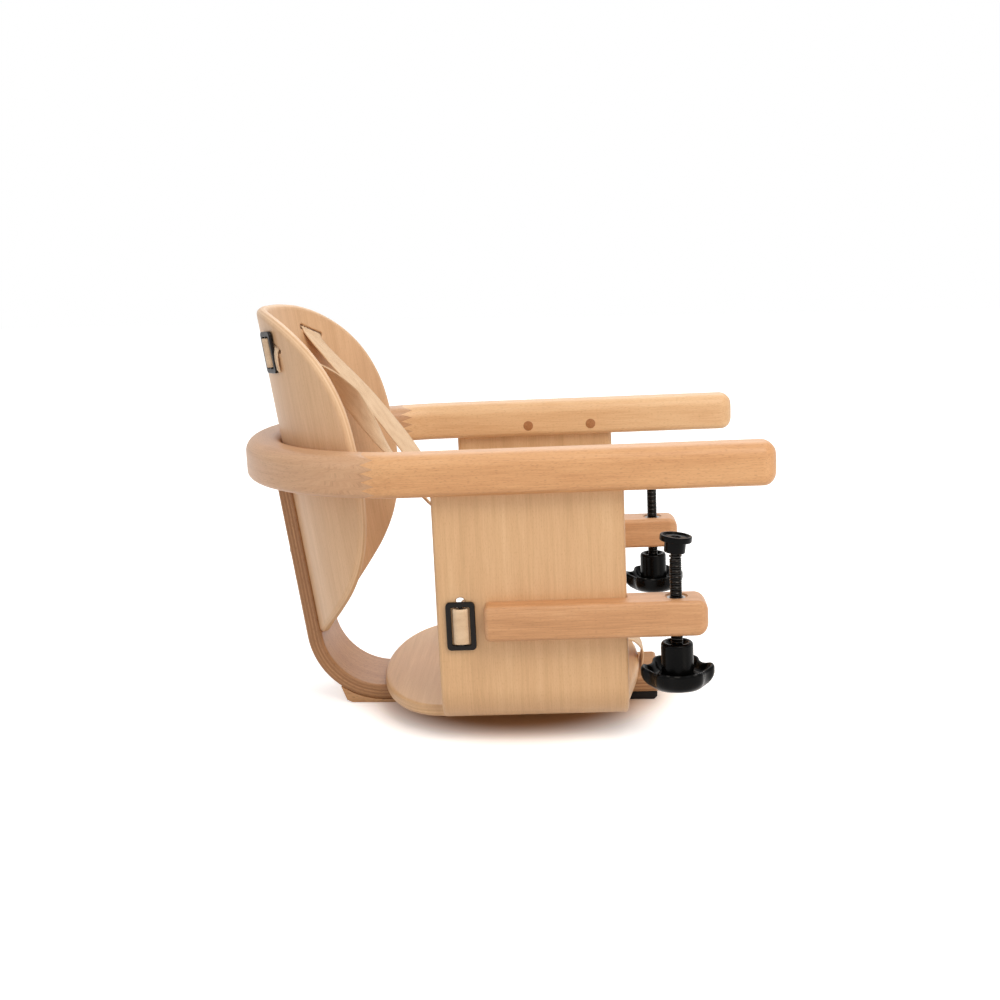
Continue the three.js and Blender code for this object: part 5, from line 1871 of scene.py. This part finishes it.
class NodeTree:
    """A Geometry Nodes tree with named inputs, run once on an empty mesh and turned into a plain one."""

    def __init__(self, name: str, inputs: dict[str, tuple[str, object]]) -> None:
        """Start a tree.

        Args:
            name: Its name.
            inputs: Socket type and value of each named input.
        """
        self.tree = bpy.data.node_groups.new(name, "GeometryNodeTree")
        self.values = {}
        for label, (kind, value) in inputs.items():
            socket = self.tree.interface.new_socket(label, in_out="INPUT", socket_type=kind)
            self.values[socket.identifier] = value
        self.tree.interface.new_socket("Geometry", in_out="OUTPUT", socket_type="NodeSocketGeometry")
        self.label = self.tree.nodes.new("NodeGroupInput").outputs
        self.add = partial(add_node, self.tree)

    def finish(self, geometry: Socket, name: str) -> bpy.types.Mesh:
        """End the tree, run it and give its mesh.

        Args:
            geometry: What the tree makes.
            name: Name of the mesh.

        Returns:
            The plain mesh.
        """
        self.add("NodeGroupOutput", (self.add("GeometryNodeRealizeInstances", (geometry,)),))
        holder = add_object(name, bpy.data.meshes.new(name + "_seed"))
        modifier = holder.modifiers.new("make", "NODES")
        modifier.node_group = self.tree
        for identifier, value in self.values.items():
            modifier[identifier] = value
        mesh = made_mesh(holder)
        bpy.data.objects.remove(holder)
        return mesh


def thread_mesh(screw: ClampScrew, name: str) -> bpy.types.Mesh:
    """Sweep a helical thread with Geometry Nodes.

    Args:
        screw: The screw's sizes.
        name: Name of the mesh.

    Returns:
        The thread as a mesh on the z axis, in millimetres.
    """
    height = screw.thread_high - screw.thread_low - screw.pitch
    sizes = {"Turns": height / screw.pitch, "Radius": screw.radius - screw.depth * 0.6, "Height": height,
             "Ridge": screw.depth * 0.66}
    nodes = NodeTree("Screw_thread", {label: ("NodeSocketFloat", value) for label, value in sizes.items()})
    label = nodes.label
    spiral = nodes.add("GeometryNodeCurveSpiral", {
        "Resolution": 28, "Rotations": label["Turns"], "Start Radius": label["Radius"],
        "End Radius": label["Radius"], "Height": label["Height"],
    })
    sockets = {"Resolution": 6, "Radius": label["Ridge"]}
    ridge = nodes.add("GeometryNodeCurvePrimitiveCircle", sockets, mode="RADIUS")
    sockets = {"Curve": spiral, "Profile Curve": ridge, "Fill Caps": True}
    return nodes.finish(nodes.add("GeometryNodeCurveToMesh", sockets), name)


def stitch_mesh(places: Sequence[Vector], runs: Sequence[Vector], thick: float, length: float,
                name: str) -> bpy.types.Mesh:
    """Set stitches along a seam with Geometry Nodes.

    Args:
        places: Where the seam's points lie, in the chair's millimetres.
        runs: Direction of the stitch at each place.
        thick: Thickness of a stitch.
        length: Length of a stitch.
        name: Name of the mesh.

    Returns:
        The stitches as one mesh, in the chair's millimetres.
    """
    seed = bpy.data.meshes.new(name + "_seam")
    seed.from_pydata([tuple(p) for p in places], [], [])
    write_vectors(seed, "run", runs)
    holder = add_object(name + "_seam", seed)
    nodes = NodeTree(name + "_tree", {"Seam": ("NodeSocketObject", holder),
                                      "Thickness": ("NodeSocketFloat", thick),
                                      "Length": ("NodeSocketFloat", length)})
    label = nodes.label
    seam = nodes.add("GeometryNodeObjectInfo", {"Object": label["Seam"]}, "Geometry")
    bead = nodes.add("GeometryNodeMeshUVSphere", {"Segments": 8, "Rings": 6, "Radius": 0.5}, "Mesh")
    size = nodes.add("ShaderNodeCombineXYZ", (label["Thickness"], label["Thickness"], label["Length"]))
    run = nodes.add("GeometryNodeInputNamedAttribute", {"Name": "run"}, data_type="FLOAT_VECTOR")
    turn = nodes.add("FunctionNodeAlignRotationToVector", {"Vector": run}, axis="Z")
    mesh = nodes.finish(nodes.add("GeometryNodeInstanceOnPoints", {
        "Points": seam, "Instance": bead, "Rotation": turn, "Scale": size,
    }), name)
    bpy.data.objects.remove(holder)
    return mesh


# The chair


class Chair:
    """Builds every visible piece of the chair round the fixed frame."""

    soft_nodes = (
        ("rear_pad", 0.8, STRIP, "frame"),
        ("front_foot", 0.9, FOOT_RUBBER, "frame"),
        ("buckle_body", 1.6, GLIDE_PLASTIC, "frame"),
        ("buckle_button", 0.6, GLIDE_PLASTIC, "release_button"),
        ("left_buckle_tongue", 0.6, GLIDE_PLASTIC, "frame"),
        ("right_buckle_tongue", 0.6, GLIDE_PLASTIC, "frame"),
    )

    def __init__(self) -> None:
        """Set up the sub-assemblies."""
        self.rail, self.backrest, self.seat, self.spine = Rail(), Backrest(), SeatShell(), Spine()
        self.clamp, self.screw, self.harness = ClampArm(), ClampScrew(), Harness()

    def build(self) -> None:
        """Build all the pieces in order, and dress in steel what stays of the CAD."""
        self.rail.build(self.backrest)
        for shell in (self.backrest, self.seat, self.spine):
            shell.build()
        for hand, side in HANDS:
            self.clamp.build(hand, side)
            self.screw.build(hand, side, self.clamp.axis(side))
        self.harness.build(self.backrest)
        for node, width, finish, body in self.soft_nodes:
            soften(node, width, finish, body)
        for node in bpy.context.scene.objects:
            if "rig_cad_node" in node and not node.hide_render:
                node.data.materials.clear()
                node.data.materials.append(STEEL.material())


# Stage, lights and camera


@dataclass
class Studio:
    """A pale floor, soft lamps and a camera at the photograph's viewing angle."""

    camera_place: Point3 = (0.06211, -1.24159, 0.43453)
    right: Point3 = (0.998717, 0.044985, -0.023249)
    up: Point3 = (0.013796, 0.200034, 0.979692)
    forward: Point3 = (-0.048722, 0.978756, -0.199157)
    lens: float = 49.356
    sensor: float = 36.0
    clip: Point2 = (0.05, 30.0)
    aim: Point3 = (0.0, 0.0, 0.15)
    world_strength: float = 0.62
    white: str = "#ffffff"
    paper: str = "#d8d4cf"
    # Colour of the warm painted shadow under the chair; its place, size and fade follow.
    painted_shadow: str = "#dcae84"
    shadow_x: float = 0.09
    shadow_half: Point2 = (0.16, 0.15)
    shadow_fade: Point2 = (0.62, 1.08)
    glow: float = 0.45
    floor_half: float = 5.0
    lamps: tuple[tuple[str, Point3, float, float, str], ...] = (
        ("Key", (1.0, -1.5, 2.2), 1.4, 34.0, "#fff6ea"),
        ("Fill", (-1.9, -1.2, 1.4), 1.6, 6.0, "#f3f6ff"),
        ("Front", (1.5, -1.4, 0.35), 0.9, 3.4, "#fff1df"),
        ("Back", (0.3, 1.8, 2.0), 1.8, 18.0, "#ffffff"),
    )

    def build(self) -> None:
        """Build the stage."""
        self.world()
        self.floor()
        self.camera()
        for lamp in self.lamps:
            self.lamp(*lamp)

    def world(self) -> None:
        """Light the scene with white for the camera and in reflections, and softer on everything else."""
        world = bpy.data.worlds.new("Studio_white")
        bpy.context.scene.world = world
        world.use_nodes = True
        world.node_tree.nodes.clear()
        add = partial(add_node, world.node_tree)
        camera, glossy, clear = (add("ShaderNodeLightPath", out=f"Is {ray} Ray")
                                 for ray in ("Camera", "Glossy", "Transmission"))
        seen = add(MATH, (camera, add(MATH, (glossy, clear), operation="MAXIMUM")), operation="MAXIMUM")
        strength = add(MATH, (seen, 1.0 - self.world_strength, self.world_strength), operation="MULTIPLY_ADD")
        background = add("ShaderNodeBackground", {"Color": linear(self.white), "Strength": strength})
        add("ShaderNodeOutputWorld", (background,))

    def floor(self) -> None:
        """Lay a pale floor whose own white shows to the camera, which keeps the chair's shadow and carries a
        warm painted shadow under the chair.
        """
        half = self.floor_half
        mesh = bpy.data.meshes.new("floor")
        corners = [(-half, -half, 0), (half, -half, 0), (half, half, 0), (-half, half, 0)]
        mesh.from_pydata(corners, [], [(0, 1, 2, 3)])
        material = empty_material("Studio_paper_matt")
        add = partial(add_node, material.node_tree)
        mix = partial(add, "ShaderNodeMix", out=2, data_type="RGBA")
        camera, glossy = (add("ShaderNodeLightPath", out=f"Is {ray} Ray") for ray in ("Camera", "Glossy"))
        seen = add(MATH, (camera, glossy), operation="MAXIMUM")
        # The paper glows white away from the chair only, and a warm colour is mixed in under it: a painted
        # shadow, so that the shadow under the chair stays deep and warm.
        scale = (1 / self.shadow_half[0], 1 / self.shadow_half[1], 1.0)
        wide = add(MAPPING, {"Vector": add("ShaderNodeTexCoord", out="Object"), "Scale": scale,
                             "Location": (-self.shadow_x, 0.0, 0.0)})
        away = add("ShaderNodeVectorMath", (wide,), "Value", operation="LENGTH")
        near, far = self.shadow_fade
        away = add("ShaderNodeMapRange", {"Value": away, "From Min": near, "From Max": far},
                   interpolation_type="SMOOTHSTEP")
        colour = mix({0: away, 6: linear(self.painted_shadow), 7: linear(self.white)})
        paper = add("ShaderNodeBsdfDiffuse", {"Color": mix({0: seen, 6: linear(self.paper), 7: colour})})
        glow = add(MATH, (seen, add(MATH, (away, self.glow), operation="MULTIPLY")), operation="MULTIPLY")
        lift = add("ShaderNodeEmission", {"Color": linear(self.white), "Strength": glow})
        add("ShaderNodeOutputMaterial", (add("ShaderNodeAddShader", (paper, lift)),))
        mesh.materials.append(material)
        add_object("floor", mesh)

    def camera(self) -> None:
        """Set up the camera that was fitted to the photograph."""
        data = bpy.data.cameras.new("camera")
        data.lens = self.lens
        data.sensor_width = self.sensor
        data.clip_start, data.clip_end = self.clip
        camera = add_object("camera", data)
        matrix = Matrix((self.right, self.up, tuple(-f for f in self.forward))).transposed().to_4x4()
        matrix.translation = self.camera_place
        camera.matrix_world = matrix
        bpy.context.scene.camera = camera

    def lamp(self, name: str, place: Point3, size: float, power: float, colour: str) -> None:
        """Add one large soft lamp that faces the chair.

        Args:
            name: The lamp's name.
            place: Where it stands, in metres.
            size: Length of its side.
            power: Watts.
            colour: sRGB hex colour.
        """
        data = bpy.data.lights.new(name, "AREA")
        data.shape = "SQUARE"
        data.size = size
        data.energy = power
        data.color = linear(colour)[:3]
        lamp = add_object(name, data)
        lamp.location = place
        lamp.rotation_mode = "QUATERNION"
        lamp.rotation_quaternion = (Vector(self.aim) - Vector(place)).to_track_quat("-Z", "Y")


def main() -> None:
    """Load the frame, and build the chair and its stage."""
    logging.basicConfig(level=logging.INFO, format="%(name)s: %(message)s")
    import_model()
    bpy.context.scene.view_settings.view_transform = "Standard"
    Studio().build()
    Chair().build()


if __name__ == "__main__":
    main()
